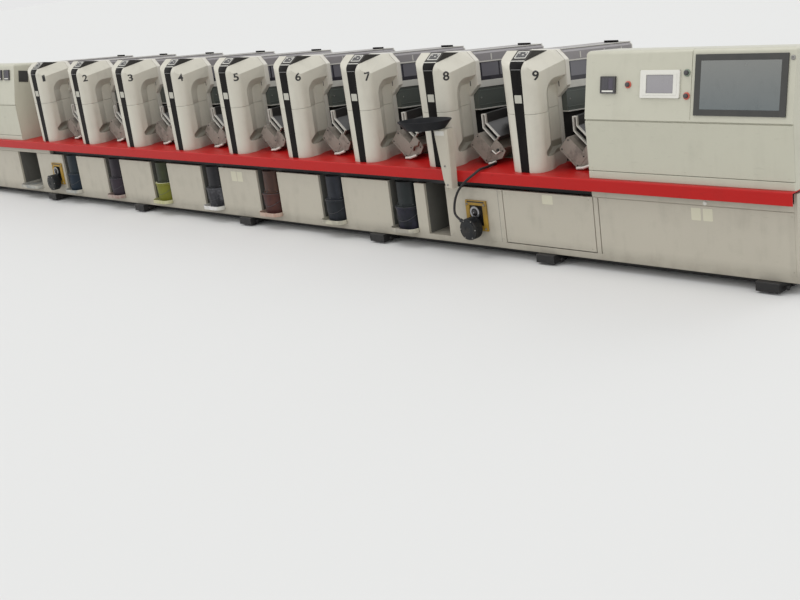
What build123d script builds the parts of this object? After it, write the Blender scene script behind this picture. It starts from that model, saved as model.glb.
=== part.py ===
# Flexographic printing press: nine print units in line between two operator consoles.
# The operator side faces -Y, X runs along the machine and the floor is at Z = 0.
import os
from math import cos, hypot, radians, sin, tan

from build123d import *

os.makedirs("parts", exist_ok=True)

# Overall layout along the machine
unit_count = 9
unit_pitch = 750
console_width = 1330
left_console_gap = 450
right_console_gap = 512

# Depths, counted back from the cover faces
body_depth = 1200
dish_reach = 250

# Heights above the floor
foot_height = 68
floor_pan_height = 39
shelf_height = 583

# Red shelf and its fascia, and the cream trim below it
fascia_overhang = 52
fascia_height = 75
trim_height = 49
shelf_depth = 340
recess_depth = 40
panel_top = shelf_height - fascia_height - trim_height

# Sheet and plate thicknesses
panel_thickness = 20
wall_thickness = 12
sheet = 6
shelf_sheet = 8
deck_sheet = 20

# Running and seating clearances
seat_gap = 0.3
journal_gap = 0.1
side_gap = 6
seam = 6

# Places worked out from the layout
overall_length = (
    2 * console_width + left_console_gap + right_console_gap + unit_pitch * (unit_count - 1)
)
left_end = -overall_length / 2
right_end = overall_length / 2
first_unit = left_end + console_width + left_console_gap
unit_places = [first_unit + unit_pitch * index for index in range(unit_count)]
left_console_side = left_end + console_width
right_console_side = right_end - console_width
face_y = (dish_reach - body_depth) / 2
back_y = face_y + body_depth
floor_top = foot_height + floor_pan_height

# Niches in the base, for the ink pails
pail_niche_count = 7
niche_width = 260
niche_offset = 222
end_niche_width = 380
spare_niche_width = 200
spare_niche_offset = -171
niche_depth = 300

LOW_CORNER = (Align.MIN, Align.MIN, Align.MIN)
STANDING = (Align.CENTER, Align.CENTER, Align.MIN)


def block(x0, x1, y0, y1, z0, z1):
    """Add a box between two corners, with y counted back from the cover faces."""
    with Locations((x0, face_y + y0, z0)):
        Box(x1 - x0, y1 - y0, z1 - z0, align=LOW_CORNER)


# Niche edges: one wide niche, the pail niches and one spare niche
pail_niches = []
for place in unit_places[:pail_niche_count]:
    pail_niches.append((place + niche_offset, place + niche_offset + niche_width))
end_niche_right = unit_places[0] - unit_pitch + niche_offset + niche_width
end_niche = (end_niche_right - end_niche_width, end_niche_right)
spare_niche_left = unit_places[pail_niche_count] + spare_niche_offset
spare_niche = (spare_niche_left, spare_niche_left + spare_niche_width)
niches = [end_niche] + pail_niches + [spare_niche]

# Access door under the last unit
door_width = 715
door_offset = 213
door_left = unit_places[-1] - door_offset
door_right = door_left + door_width

# Black floor rails, front and back
rail_inset = 90
rail_width = 80
rail_lift = 18

with BuildPart() as base_rails:
    block(left_end + rail_inset, right_end - rail_inset, rail_inset, rail_inset + rail_width,
          rail_lift, foot_height)
    block(left_end + rail_inset, right_end - rail_inset,
          body_depth - rail_inset - rail_width, body_depth - rail_inset, rail_lift, foot_height)

# Levelling feet: a block on a round pad, with its jacking bolt at the side
feet_per_side = 7
foot_width = 143
foot_reach = 40
foot_end = 103
pad_radius = 34
pad_height = 14
bolt_radius = 8
bolt_length = 30
bolt_head_radius = 14
bolt_head_length = 12
bolt_inset = 16
foot_chamfer = 3
foot_pitch = (overall_length - 2 * foot_end - foot_width) / (feet_per_side - 1)
foot_row = [left_end + foot_end + foot_width / 2 + foot_pitch * index
            for index in range(feet_per_side)]


def foot_form(reach):
    """Return a levelling foot that reaches out this far in front of the base."""
    with BuildPart() as foot:
        with BuildSketch(Plane.XY.offset(pad_height)):
            with Locations((0, -reach)):
                Rectangle(foot_width, reach + rail_inset, align=(Align.CENTER, Align.MIN))
        extrude(amount=foot_height - pad_height)
        chamfer(foot.edges().group_by(Axis.Y)[0].filter_by(Axis.X).sort_by(Axis.Z)[-1],
                foot_chamfer)
        with Locations((0, (rail_inset - reach) / 2, 0)):
            Cylinder(pad_radius, pad_height, align=STANDING)
        with BuildSketch(Plane.YZ.offset(foot_width / 2)):
            with Locations((bolt_inset, foot_height / 2)):
                Circle(bolt_radius)
        extrude(amount=bolt_length)
        with BuildSketch(Plane.YZ.offset(foot_width / 2 + bolt_length - bolt_head_length)):
            with Locations((bolt_inset, foot_height / 2)):
                RegularPolygon(bolt_head_radius, 6)
        extrude(amount=bolt_head_length)
    return foot.part


with BuildPart() as levelling_feet:
    with Locations([(x, face_y, 0) for x in foot_row]):
        add(foot_form(foot_reach))
    with Locations([Location((x, back_y, 0), (0, 0, 180)) for x in foot_row]):
        add(foot_form(0))

# Floor pan of the base, open underneath
with BuildPart() as base_floor:
    block(left_end, right_end, 0, body_depth, foot_height, floor_top)
    with Locations((0, (face_y + back_y) / 2, foot_height)):
        Box(overall_length - 2 * sheet, body_depth - 2 * sheet, floor_pan_height - sheet,
            align=STANDING, mode=Mode.SUBTRACT)

# Front panels between the niches, flush with the cover faces
panel_edges = [edge for niche in niches for edge in niche][1:]
panel_edges.append(door_left - seam)
corner_post = 32

with BuildPart() as cabinet_panels:
    for low, high in zip(panel_edges[::2], panel_edges[1::2]):
        block(low, high, 0, panel_thickness, floor_top, panel_top)
    block(door_right + seam, door_right + seam + corner_post, 0, panel_thickness,
          floor_top, panel_top)

# Side walls and back wall of the niches
with BuildPart() as niche_walls:
    for low, high in niches:
        block(low - wall_thickness, low, panel_thickness, niche_depth, floor_top, panel_top)
        block(high, high + wall_thickness, panel_thickness, niche_depth, floor_top, panel_top)

with BuildPart() as niche_back:
    block(niches[0][0] - wall_thickness, niches[-1][1] + wall_thickness,
          niche_depth, niche_depth + wall_thickness, floor_top, panel_top)

# Outer skin of the base
with BuildPart() as cabinet_back:
    block(left_end, right_end, body_depth - panel_thickness, body_depth,
          floor_top, shelf_height - deck_sheet)

with BuildPart() as cabinet_ends:
    for x in (left_end, right_end - panel_thickness):
        block(x, x + panel_thickness, 0, body_depth - panel_thickness,
              floor_top, shelf_height - deck_sheet)

with BuildPart() as access_door:
    block(door_left, door_right, 0, panel_thickness, floor_top + seam, panel_top)

with BuildPart() as console_base_panels:
    block(left_end + panel_thickness, end_niche[0], 0, panel_thickness,
          floor_top, panel_top)
    block(door_right + corner_post + 2 * seam, right_end - panel_thickness, 0, panel_thickness,
          floor_top, panel_top)

# Black beam set back under the shelf, and the deck behind it
with BuildPart() as shelf_beam:
    block(left_end + panel_thickness, right_end - panel_thickness, recess_depth, shelf_depth,
          panel_top, shelf_height - shelf_sheet)

trim_step = 4
with BuildPart() as base_trims:
    for low, high in ((left_end + panel_thickness, unit_places[0]),
                      (door_right, right_end - panel_thickness)):
        block(low, high, 0, recess_depth, panel_top + trim_step, shelf_height - fascia_height)
        block(low, high, trim_step, recess_depth, panel_top, panel_top + trim_step)

with BuildPart() as red_shelf:
    block(left_end, right_end, -fascia_overhang, shelf_depth,
          shelf_height - shelf_sheet, shelf_height)
    block(left_end, right_end, -fascia_overhang, shelf_sheet - fascia_overhang,
          shelf_height - fascia_height, shelf_height)
    chamfer(red_shelf.edges().filter_by(Axis.X).group_by(Axis.Y)[0].sort_by(Axis.Z)[-1],
            shelf_sheet / 2)

with BuildPart() as deck_plate:
    block(left_end, right_end, shelf_depth, body_depth, shelf_height - deck_sheet, shelf_height)

# Round-fronted trays on the niche floors, hollow inside their lips
tray_sheet = 10
tray_lip = 30
tray_wall = 4
tray_reach = 60
tray_corner = 60
tray_top = floor_top + tray_sheet

with BuildPart() as pail_trays:
    for low, high in niches[:-1]:
        tray_place = (low + side_gap, face_y - tray_reach)
        tray_width = high - low - 2 * side_gap
        tray_length = niche_depth - side_gap + tray_reach
        with BuildSketch(Plane.XY.offset(floor_top)) as tray_plan:
            with Locations(tray_place):
                Rectangle(tray_width, tray_length, align=(Align.MIN, Align.MIN))
            fillet(tray_plan.vertices().group_by(Axis.Y)[0], tray_corner)
        extrude(amount=tray_lip)
        with BuildSketch(Plane.XY.offset(tray_top)):
            add(tray_plan.sketch_local)
            offset(amount=-tray_wall)
        extrude(amount=tray_lip, mode=Mode.SUBTRACT)

# Ink pails on the trays, each with its pump standing in it
pail_radius = 110
pail_taper = 8
pail_height = 165
pail_rim = 4
pail_rim_height = 12
pail_y = 75
pump_radius = 88
flange_radius = 98
flange_height = 14

with BuildPart() as pail:
    Cone(pail_radius - pail_taper, pail_radius, pail_height, align=STANDING)
    with Locations((0, 0, pail_height - pail_rim_height)):
        Cylinder(pail_radius + pail_rim, pail_rim_height, align=STANDING)

pail_spots = [(low + niche_width / 2, face_y + pail_y, tray_top) for low, high in pail_niches]

with BuildPart() as ink_pails:
    with Locations(pail_spots):
        add(pail.part)

pump_height = panel_top - tray_top - pail_height
with BuildPart() as pail_pumps:
    with Locations([(x, y, z + pail_height) for x, y, z in pail_spots]):
        Cylinder(flange_radius, flange_height, align=STANDING)
        Cylinder(pump_radius, pump_height, align=STANDING)

# Side pumps: a drum and a round head on a yellow plate with a window in it
plate_width = 181
plate_height = 204
plate_sheet = 12
plate_bottom = 172
plate_border = 33
drum_radius = 71
drum_front = 96
drum_back = 30
drum_x = -12
drum_z = 199
head_radius = 42
head_z = 300
head_front = 24
neck_radius = 24
neck_z = 240
nozzle_radius = 13
nozzle_turn = 60
nozzle_length = 30
left_plate_offset = 96
right_plate_offset = 450
plate_places = [unit_places[0] + left_plate_offset, unit_places[-1] - right_plate_offset]

with BuildPart() as pump_brackets:
    for x in plate_places:
        with BuildSketch(Plane.XZ.offset(-face_y)):
            with Locations((x, plate_bottom + plate_height / 2)):
                Rectangle(plate_width, plate_height)
                Rectangle(plate_width - 2 * plate_border, plate_height - 2 * plate_border,
                          mode=Mode.SUBTRACT)
        extrude(amount=plate_sheet)

drum_middle = (drum_front + drum_back) / 2
nozzle_end = drum_radius + nozzle_length
with BuildPart() as side_pumps:
    for x in plate_places:
        with BuildSketch(Plane.XZ.offset(drum_back - face_y)) as drum_view:
            with Locations((x + drum_x, drum_z)):
                Circle(drum_radius)
        extrude(amount=drum_front - drum_back)
        with BuildSketch(Plane.XZ.offset(-face_y)):
            with Locations((x, head_z)):
                Circle(head_radius)
        extrude(amount=head_front)
        with BuildSketch(Plane.XZ.offset(-face_y)):
            with Locations((x, neck_z)):
                Circle(neck_radius)
        extrude(amount=drum_back + 1)
        nozzle = Plane(origin=(x + drum_x, face_y - drum_middle, drum_z), x_dir=(0, 1, 0),
                       z_dir=(-sin(radians(nozzle_turn)), 0, cos(radians(nozzle_turn))))
        with BuildSketch(nozzle):
            Circle(nozzle_radius)
        extrude(amount=nozzle_end)

# Unit covers, each in its own frame: x from its centre, y from its face, z from the shelf
cover_depth = 305
cover_half_bottom = 126
cover_half_top = 146
cover_height = 716
cover_seam_height = 368
cover_seam = 2
corner_radius = 70
brow_start = cover_height - 81
brow_middle = (8, cover_height - 49)
brow_top = (30, cover_height - 25)
crest = (110, cover_height + 29)
crown_top = (251, cover_height + 6)
crown_run = (crown_top[0] - brow_top[0], crown_top[1] - brow_top[1])
crown_rise = crown_run[1] / crown_run[0]
ridge_half = 64
ridge_height = brow_top[1] - crown_rise * brow_top[0]
ridge_round = 8
bevel_drop = 77
shoulder_height = ridge_height - bevel_drop
shoulder_round = 14
rim_depth = 40
rim_step = 4
rim_round = 10
rim_hook_height = cover_height - 298
rim_side_height = cover_height - 221
rim_shoulder_height = shoulder_height + crown_rise * cover_depth
rim_ridge_half = 80
column_half = 62

# Side scoops: the column is waisted, and the walls flare out to the head, the foot and the face
scoop_reach = cover_depth + rim_depth
scoop_out = 150
scoop_inner = ((207, 122), (207, 150), (215, cover_height - 211))
scoop_outer = ((-29, 79), (88, 165), (88, cover_height - 145))
scoop_inner_rounds = (20, 45)
scoop_outer_rounds = (24, 110)

# Foot: the sides draw in to the rear in an S
foot_flank_start = 100
foot_flank_end = 250
foot_flank_half = 84
foot_bow = (121, 142)
foot_middle = (106, 177)
foot_dip = (91, 212)

# Groove for the black strip, which flares out at the brow, and the keypad wedge above it
strip_half_bottom = 33.5
strip_half_top = 43
strip_half_brow = 56
strip_groove = 8
keypad_left = -60
keypad_right = 60


def cover_plan(half_width, height):
    """Return the cover's plan at a height, with its two round front corners."""
    with BuildSketch(Plane.XY.offset(height)) as plan:
        with Locations((0, cover_depth / 2)):
            Rectangle(2 * half_width, cover_depth)
        fillet(plan.vertices().group_by(Axis.Y)[0], corner_radius)
    return plan.sketch


def scoop_view(offset_x, corners, rounds):
    """Return one side view of a scoop from its tip, kink and top, with the outer two rounded."""
    (low_y, low_z), kink, (high_y, high_z) = corners
    with BuildSketch(Plane.YZ.offset(offset_x)) as view:
        Polygon((low_y, low_z), (scoop_reach, low_z), (scoop_reach, high_z), (high_y, high_z),
                kink, align=None)
        fillet(view.vertices().sort_by_distance((low_y, low_z))[0], rounds[0])
        fillet(view.vertices().sort_by_distance((high_y, high_z))[0], rounds[1])
    return view.sketch


with BuildPart() as scoop:
    loft([scoop_view(column_half, scoop_inner, scoop_inner_rounds),
          scoop_view(scoop_out, scoop_outer, scoop_outer_rounds)], ruled=True)
    mirror(about=Plane.YZ)

with BuildPart() as foot_flank:
    with BuildSketch(Plane.XY):
        with BuildLine():
            ThreePointArc((cover_half_bottom + 2, foot_flank_start), foot_bow, foot_middle)
            ThreePointArc(foot_middle, foot_dip, (foot_flank_half, foot_flank_end))
            Polyline((foot_flank_half, foot_flank_end), (foot_flank_half, scoop_reach),
                     (scoop_out, scoop_reach), (scoop_out, foot_flank_start),
                     (cover_half_bottom + 2, foot_flank_start))
        make_face()
    extrude(amount=scoop_inner[0][1])
    mirror(about=Plane.YZ)

with BuildSketch(Plane.YZ) as side_view:
    with BuildLine():
        Polyline((0, brow_start), (0, 0), (cover_depth, 0), (cover_depth, cover_height),
                 crown_top, brow_top)
        ThreePointArc(brow_top, brow_middle, (0, brow_start))
    make_face()

with BuildSketch(Plane.YZ) as groove_view:
    add(side_view.sketch_local)
    offset(amount=-strip_groove)
    with Locations((strip_groove, 0)):
        Rectangle(cover_depth, 2 * strip_groove, align=(Align.MIN, Align.MIN))


def strip_form(trim):
    """Return what fills the strip groove, trimmed at its sides and its end."""
    with BuildPart() as strip:
        with BuildSketch(Plane.YZ):
            add(side_view.sketch_local)
            add(groove_view.sketch_local, mode=Mode.SUBTRACT)
            Rectangle(brow_top[0], brow_top[1] - trim, align=(Align.MIN, Align.MIN),
                      mode=Mode.INTERSECT)
        extrude(amount=strip_half_brow, both=True)
        with BuildSketch(Plane.XZ):
            Polygon((trim - strip_half_bottom, 0), (strip_half_bottom - trim, 0),
                    (strip_half_top - trim, brow_start), (strip_half_brow - trim, brow_top[1]),
                    (trim - strip_half_brow, brow_top[1]), (trim - strip_half_top, brow_start),
                    align=None)
        extrude(amount=-cover_depth, mode=Mode.INTERSECT)
    return strip.part


def brow_wedge(x0, x1, depth):
    """Return a stretch of the raised brow, sunk into the crown by a depth."""
    with BuildPart() as wedge:
        with BuildSketch(Plane.YZ.offset(x0)):
            Polygon(brow_top, crest, crown_top, (crown_top[0], crown_top[1] - depth),
                    (brow_top[0], brow_top[1] - depth), align=None)
        extrude(amount=x1 - x0)
    return wedge.part


# Head: level across on its left, and with a long bevel on its right that rises with the crown
with BuildPart() as head:
    with BuildSketch(Plane.YZ):
        add(side_view.sketch_local)
    extrude(amount=cover_half_top, both=True)
    with BuildSketch(Plane.XZ) as outline:
        Polygon((-cover_half_top, -cover_height), (cover_half_top, -cover_height),
                (cover_half_top, shoulder_height), (ridge_half, ridge_height),
                (-cover_half_top, ridge_height), align=None)
        fillet(outline.vertices().sort_by_distance((ridge_half, ridge_height))[0], ridge_round)
        fillet(outline.vertices().sort_by_distance((cover_half_top, shoulder_height))[0],
               shoulder_round)
    extrude(amount=hypot(cover_depth, crown_rise * cover_depth), dir=(0, *crown_run),
            mode=Mode.INTERSECT)
    add(brow_wedge(-cover_half_top, keypad_left, strip_groove))

with BuildPart() as cover:
    loft([cover_plan(cover_half_bottom, 0), cover_plan(cover_half_top, crest[1])], ruled=True)
    add(head.part, mode=Mode.INTERSECT)
    add(scoop.part, mode=Mode.SUBTRACT)
    add(foot_flank.part, mode=Mode.SUBTRACT)
    add(strip_form(0), mode=Mode.SUBTRACT)
    with Locations((0, 0, cover_seam_height)):
        Box(2 * scoop_out, 2 * scoop_reach, cover_seam, align=STANDING, mode=Mode.SUBTRACT)

unit_spots = [(x, face_y, shelf_height) for x in unit_places]

with BuildPart() as unit_covers:
    with Locations(unit_spots):
        add(cover.part)

with BuildPart() as cover_strips:
    with Locations(unit_spots):
        add(strip_form(seat_gap))

with BuildPart() as cover_keypads:
    with Locations(unit_spots):
        add(brow_wedge(keypad_left + seat_gap, keypad_right, 0))

# Rear rim of each cover: a frame that closes the head and hooks in under it
with BuildPart() as rim:
    with BuildSketch(Plane.XZ.offset(-cover_depth)) as rim_view:
        Polygon((cover_half_top, rim_side_height), (column_half, rim_hook_height),
                (column_half, 0), (-column_half, 0), (-column_half, rim_hook_height),
                (-cover_half_top, rim_side_height), (-cover_half_top, cover_height),
                (rim_ridge_half, cover_height), (cover_half_top, rim_shoulder_height),
                align=None)
        fillet(rim_view.vertices().group_by(Axis.Y)[-1], rim_round)
        fillet(rim_view.vertices().sort_by_distance((cover_half_top, rim_shoulder_height))[0],
               rim_round)
    extrude(amount=-rim_depth)
    with BuildSketch(Plane.XZ.offset(-cover_depth)) as step_view:
        add(rim_view.sketch_local)
        offset(rim_view.sketch_local, amount=-rim_step, mode=Mode.SUBTRACT)
    extrude(amount=-rim_step, mode=Mode.SUBTRACT)

with BuildPart() as cover_rims:
    with Locations(unit_spots):
        add(rim.part)

# Hood over the print rollers, from the rim back to the drive frame
hood_half = 110
hood_front = cover_depth + rim_depth
hood_inset = 6
drive_cover_depth = 100
drive_thickness = 30
drive_front = body_depth - drive_cover_depth - drive_thickness
housing_bottom = cover_height - 389
bar_bottom = cover_height - 246
window_bottom = cover_height - 202
hood_bottom = cover_height - 73
hood_top = cover_height - 2
hood_slope = 0.095
hood_chamfer = 20
hood_bead = 8
bead_reach = 3
latch_width = 100
latch_depth = 24
latch_height = 14
latch_y = 980


def hood_run(view, y0, y1):
    """Extrude a front view between two depths along the hood, which falls to the rear."""
    run = y1 - y0
    extrude(view, amount=hypot(run, hood_slope * run), dir=(0, 1, -hood_slope))


def hood_bar(half_width, z0, z1):
    """Add a bar along the hood in one unit's frame, with its heights at the front."""
    with BuildSketch(Plane.XZ.offset(-hood_front)) as view:
        with Locations((0, z0)):
            Rectangle(2 * half_width, z1 - z0, align=(Align.CENTER, Align.MIN))
    hood_run(view.sketch, hood_front, drive_front)


def on_units(part):
    """Add a piece at every unit."""
    with Locations(unit_spots):
        add(part)


with BuildPart() as hood:
    with BuildSketch(Plane.XZ.offset(-hood_front)) as hood_view:
        with Locations((0, hood_bottom)):
            Rectangle(2 * hood_half, hood_top - hood_bottom, align=(Align.CENTER, Align.MIN))
        chamfer(hood_view.vertices().group_by(Axis.Y)[-1], hood_chamfer)
    hood_run(hood_view.sketch, hood_front, drive_front)

with BuildPart() as hood_tops:
    on_units(hood.part)

latch_z = hood_top - hood_slope * (latch_y - hood_front)
with BuildPart() as latch:
    with BuildSketch(Plane.XZ.offset(-latch_y)) as latch_view:
        with Locations((0, latch_z)):
            Rectangle(latch_width, latch_height, align=(Align.CENTER, Align.MIN))
    hood_run(latch_view.sketch, latch_y, latch_y + latch_depth)

with BuildPart() as hood_latches:
    on_units(latch.part)

with BuildPart() as window:
    hood_bar(hood_half - hood_inset, window_bottom, hood_bottom - hood_bead)

with BuildPart() as hood_windows:
    on_units(window.part)

with BuildPart() as bars:
    hood_bar(hood_half + bead_reach, hood_bottom - hood_bead, hood_bottom)
    hood_bar(hood_half + hood_bead, bar_bottom, window_bottom)
    hood_bar(hood_half, housing_bottom - hood_bead, housing_bottom)

with BuildPart() as hood_bars:
    on_units(bars.part)

with BuildPart() as housing:
    hood_bar(hood_half - hood_inset, housing_bottom, bar_bottom)

with BuildPart() as roller_housings:
    on_units(housing.part)

with BuildPart() as core:
    with BuildSketch(Plane.YZ):
        Polygon((hood_front, 0), (drive_front, 0),
                (drive_front, housing_bottom - hood_bead - hood_slope * (drive_front - hood_front)),
                (hood_front, housing_bottom - hood_bead), align=None)
    extrude(amount=column_half, both=True)

with BuildPart() as unit_cores:
    on_units(core.part)

# Ink trough and blade channel, both turned and running back to the drive frame
trough_turn = 42
trough_x = 267
trough_z = 105
trough_length = 180
trough_width = 112
trough_front = 150
trough_round = 10
channel_near = 89
channel_thickness = 44
channel_wall = 7
channel_top_end = -92
channel_low_end = 40
channel_front = 190
roller_along = -20
roller_across = 195
roller_radius = 52
journal_radius = 15
lip_height = 60


def turned(along, across):
    """Return the x and z of a point given along and across the turned trough."""
    turn = radians(trough_turn)
    return (trough_x + along * cos(turn) + across * sin(turn),
            trough_z - along * sin(turn) + across * cos(turn))


with BuildPart() as trough:
    with BuildSketch(Plane.XZ.offset(-trough_front)):
        with Locations(Location((trough_x, trough_z), -trough_turn)):
            RectangleRounded(trough_length, trough_width, trough_round)
    extrude(amount=trough_front - drive_front)

with BuildPart() as ink_troughs:
    with Locations(unit_spots):
        add(trough.part)

channel_far = channel_near + channel_thickness
lip_left = turned(channel_top_end, channel_near)
lip_right = turned(channel_top_end, channel_far)
lip_top = lip_right[1] + lip_height
with BuildPart() as channel:
    with BuildSketch(Plane.XZ.offset(-channel_front)) as channel_view:
        Polygon(lip_left, turned(channel_low_end, channel_near),
                turned(channel_low_end, channel_far), lip_right,
                (lip_right[0], lip_top), (lip_left[0], lip_top), align=None)
        offset(amount=-channel_wall, mode=Mode.SUBTRACT)
    extrude(amount=channel_front - drive_front)

with BuildPart() as ink_channels:
    with Locations(unit_spots):
        add(channel.part)

# Bearing bracket at the front of each ink roller
roller_x, roller_z = turned(roller_along, roller_across)
bearing_thickness = 30
boss_radius = 35
bearing_foot_left = 400
bearing_foot_right = 460

with BuildPart() as bearing:
    with BuildSketch(Plane.XZ.offset(-hood_front)):
        Polygon((bearing_foot_left, 0), (bearing_foot_right, 0),
                (bearing_foot_right, roller_z), (bearing_foot_left, roller_z), align=None)
        with Locations((roller_x, roller_z)):
            Circle(boss_radius)
            Circle(journal_radius + journal_gap, mode=Mode.SUBTRACT)
    extrude(amount=-bearing_thickness)

with BuildPart() as bearing_brackets:
    with Locations(unit_spots):
        add(bearing.part)

# Drive-side frame plates with the rear journal bores
drive_left = -150
drive_right = 470
drive_height = 565
drive_corner = 30

with BuildPart() as drive_frame:
    with BuildSketch(Plane.XZ.offset(-drive_front)):
        with Locations(((drive_left + drive_right) / 2, 0)):
            Rectangle(drive_right - drive_left, drive_height, align=(Align.CENTER, Align.MIN))
        with Locations((roller_x, roller_z)):
            Circle(journal_radius + journal_gap, mode=Mode.SUBTRACT)
    extrude(amount=-drive_thickness)

with BuildPart() as drive_frames:
    with Locations(unit_spots):
        add(drive_frame.part)

# Closed covers over the drive side
with BuildPart() as drive_cover:
    with BuildSketch(Plane.XY):
        with Locations(((drive_left + drive_right) / 2, drive_front + drive_thickness)):
            Rectangle(drive_right - drive_left, drive_cover_depth,
                      align=(Align.CENTER, Align.MIN))
    extrude(amount=drive_height)
    fillet(drive_cover.edges().filter_by(Axis.Z).group_by(Axis.Y)[-1], drive_corner)

with BuildPart() as drive_covers:
    with Locations(unit_spots):
        add(drive_cover.part)

# Ink rollers, turning on journals in the bracket and the drive frame
roller_end_gap = 5
with BuildPart() as roller:
    with BuildSketch(Plane.XZ.offset(-hood_front - bearing_thickness - roller_end_gap)):
        with Locations((roller_x, roller_z)):
            Circle(roller_radius)
    extrude(amount=hood_front + bearing_thickness + 2 * roller_end_gap - drive_front)
    with BuildSketch(Plane.XZ.offset(-hood_front)):
        with Locations((roller_x, roller_z)):
            Circle(journal_radius)
    extrude(amount=hood_front - drive_front - drive_thickness + 1)

# Console profile: upright knee, control panel leaning back, and a rounded top that falls back
console_front = -20
console_height = 740
knee_height = 355
lean = 11.5
console_top_depth = 300
console_top_slope = 0.11
top_round = 25
knee_gap = 10
knee_panel_depth = 10
kick_height = 45
console_seam = 4
console_seam_x = 717

lean_shift = (console_height - knee_height) * tan(radians(lean))
console_back = console_front + lean_shift + console_top_depth
knee_back = console_front + knee_panel_depth

with BuildPart() as console:
    with BuildSketch(Plane.YZ.offset(-console_width / 2)):
        Polygon((knee_back, 0), (console_back, 0),
                (console_back, console_height - console_top_slope * console_top_depth),
                (console_front + lean_shift, console_height), (console_front, knee_height),
                (knee_back, knee_height), align=None)
    extrude(amount=console_width)
    fillet(console.faces().sort_by(Axis.Z)[-1].edges(), top_round)

with BuildPart() as seam_cut:
    with BuildSketch(Plane.YZ.offset(-console_seam / 2)):
        Polygon((console_front + console_seam, knee_height + knee_gap),
                (console_front + lean_shift + console_seam, console_height - console_seam),
                (console_back, console_height - console_seam - console_top_slope * console_top_depth),
                (console_back, console_height), (console_front, console_height),
                (console_front - console_seam, knee_height + knee_gap), align=None)
    extrude(amount=console_seam)

with BuildPart() as right_console:
    with Locations((right_end - console_width / 2, face_y, shelf_height)):
        add(console.part)
    with Locations((right_console_side + console_seam_x, face_y, shelf_height)):
        add(seam_cut.part, mode=Mode.SUBTRACT)

with BuildPart() as left_console:
    with Locations((left_end + console_width / 2, face_y, shelf_height)):
        add(console.part)
    with Locations((left_console_side - console_seam_x, face_y, shelf_height)):
        add(seam_cut.part, mode=Mode.SUBTRACT)

# Knee panels, upper and lower, in front of each console's body
with BuildPart() as knee_panels:
    for side_x in (right_console_side, left_end):
        block(side_x, side_x + console_width, console_front, knee_back,
              shelf_height + kick_height + console_seam,
              shelf_height + knee_height - knee_gap)
        block(side_x, side_x + console_width, console_front, knee_back,
              shelf_height, shelf_height + kick_height)

# Control plane of a console: x from the side nearest the units, y up the slope from the knee
screen_depth = 8
glass_recess = 2


def control_plane(side_x):
    """Return the leaning plane of a console's control panel."""
    return Plane(origin=(side_x, face_y + console_front, shelf_height + knee_height),
                 x_dir=(1, 0, 0), z_dir=(0, -cos(radians(lean)), sin(radians(lean))))


# Screens: place on the control plane, outer size and glass size
main_screen = ((1015, 198), (550, 328), (478, 262))
small_screen = ((516, 203), (258, 154), (175, 100))
left_screen = ((-1015, 198), (550, 328), (478, 262))
side_window = (131, 608, 100, 108)
side_window_sheet = 6

with BuildPart() as control_screens:
    for side_x, screens in ((right_console_side, (main_screen, small_screen)),
                            (left_console_side, (left_screen,))):
        for middle, outer, glass in screens:
            with BuildSketch(control_plane(side_x)):
                with Locations(middle):
                    Rectangle(*outer)
            extrude(amount=screen_depth)
            with BuildSketch(control_plane(side_x).offset(screen_depth - glass_recess)):
                with Locations(middle):
                    Rectangle(*glass)
            extrude(amount=glass_recess, mode=Mode.SUBTRACT)
    with BuildSketch(Plane.YZ.offset(left_console_side)):
        with Locations(Location((face_y + side_window[0], shelf_height + side_window[1]), -lean)):
            Rectangle(*side_window[2:])
    extrude(amount=side_window_sheet)

# Meters, lamps and buttons: a collar with a cap on it, or a square case
collar_radius = 20
collar_depth = 5
cap_radius = 13
button_depth = 16
meter_size = (104, 98)
meter_depth = 12
buttons = [(301, 200), (687, 264), (690, 139)]
right_meters = [(165, 198)]
left_meters = [(-137, 288), (-290, 288)]

with BuildPart() as console_controls:
    for radius, depth in ((collar_radius, collar_depth), (cap_radius, button_depth)):
        with BuildSketch(control_plane(right_console_side)):
            with Locations(buttons):
                Circle(radius)
        extrude(amount=depth)
    for side_x, meters in ((right_console_side, right_meters), (left_console_side, left_meters)):
        with BuildSketch(control_plane(side_x)):
            with Locations(meters):
                Rectangle(*meter_size)
        extrude(amount=meter_depth)

# Post and dish for hand tools, beside the cover of unit eight; x counted from that unit
post_depth = 66
post_bottom = 471
post_top = 868
post_outline = [(93, post_top), (216, post_top), (208, 605), (200, post_bottom),
                (152, post_bottom), (132, 535), (125, 605)]
post_chamfer = 10
dish_x = 42
dish_half_length = 190
dish_half_width = 105
dish_turn = 22
dish_height = 58
dish_wall = 5
dish_floor_share = 0.72

with BuildPart() as tray_post:
    with BuildSketch(Plane.XZ.offset(fascia_overhang - face_y)):
        with Locations((unit_places[7], 0)):
            Polygon(*post_outline, align=None)
    extrude(amount=post_depth)
    chamfer(tray_post.faces().sort_by(Axis.Y)[0].edges(), post_chamfer)

dish_half_reach = hypot(dish_half_length * sin(radians(dish_turn)),
                        dish_half_width * cos(radians(dish_turn)))
dish_spot = Location((unit_places[7] + dish_x, face_y - dish_reach + dish_half_reach, 0),
                     (0, 0, dish_turn))


def dish_form(trim, bottom, top):
    """Return a bowl between two heights, flaring from its floor to its rim, less a trim."""
    with BuildPart() as bowl:
        with BuildSketch(Plane.XY.offset(bottom)):
            Ellipse(dish_half_length * dish_floor_share - trim,
                    dish_half_width * dish_floor_share - trim)
        with BuildSketch(Plane.XY.offset(top)):
            Ellipse(dish_half_length - trim, dish_half_width - trim)
        loft(ruled=True)
    return bowl.part


with BuildPart() as dish_tray:
    with Locations(dish_spot):
        add(dish_form(0, post_top, post_top + dish_height))
        add(dish_form(dish_wall, post_top + dish_wall, post_top + dish_height),
            mode=Mode.SUBTRACT)

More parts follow.
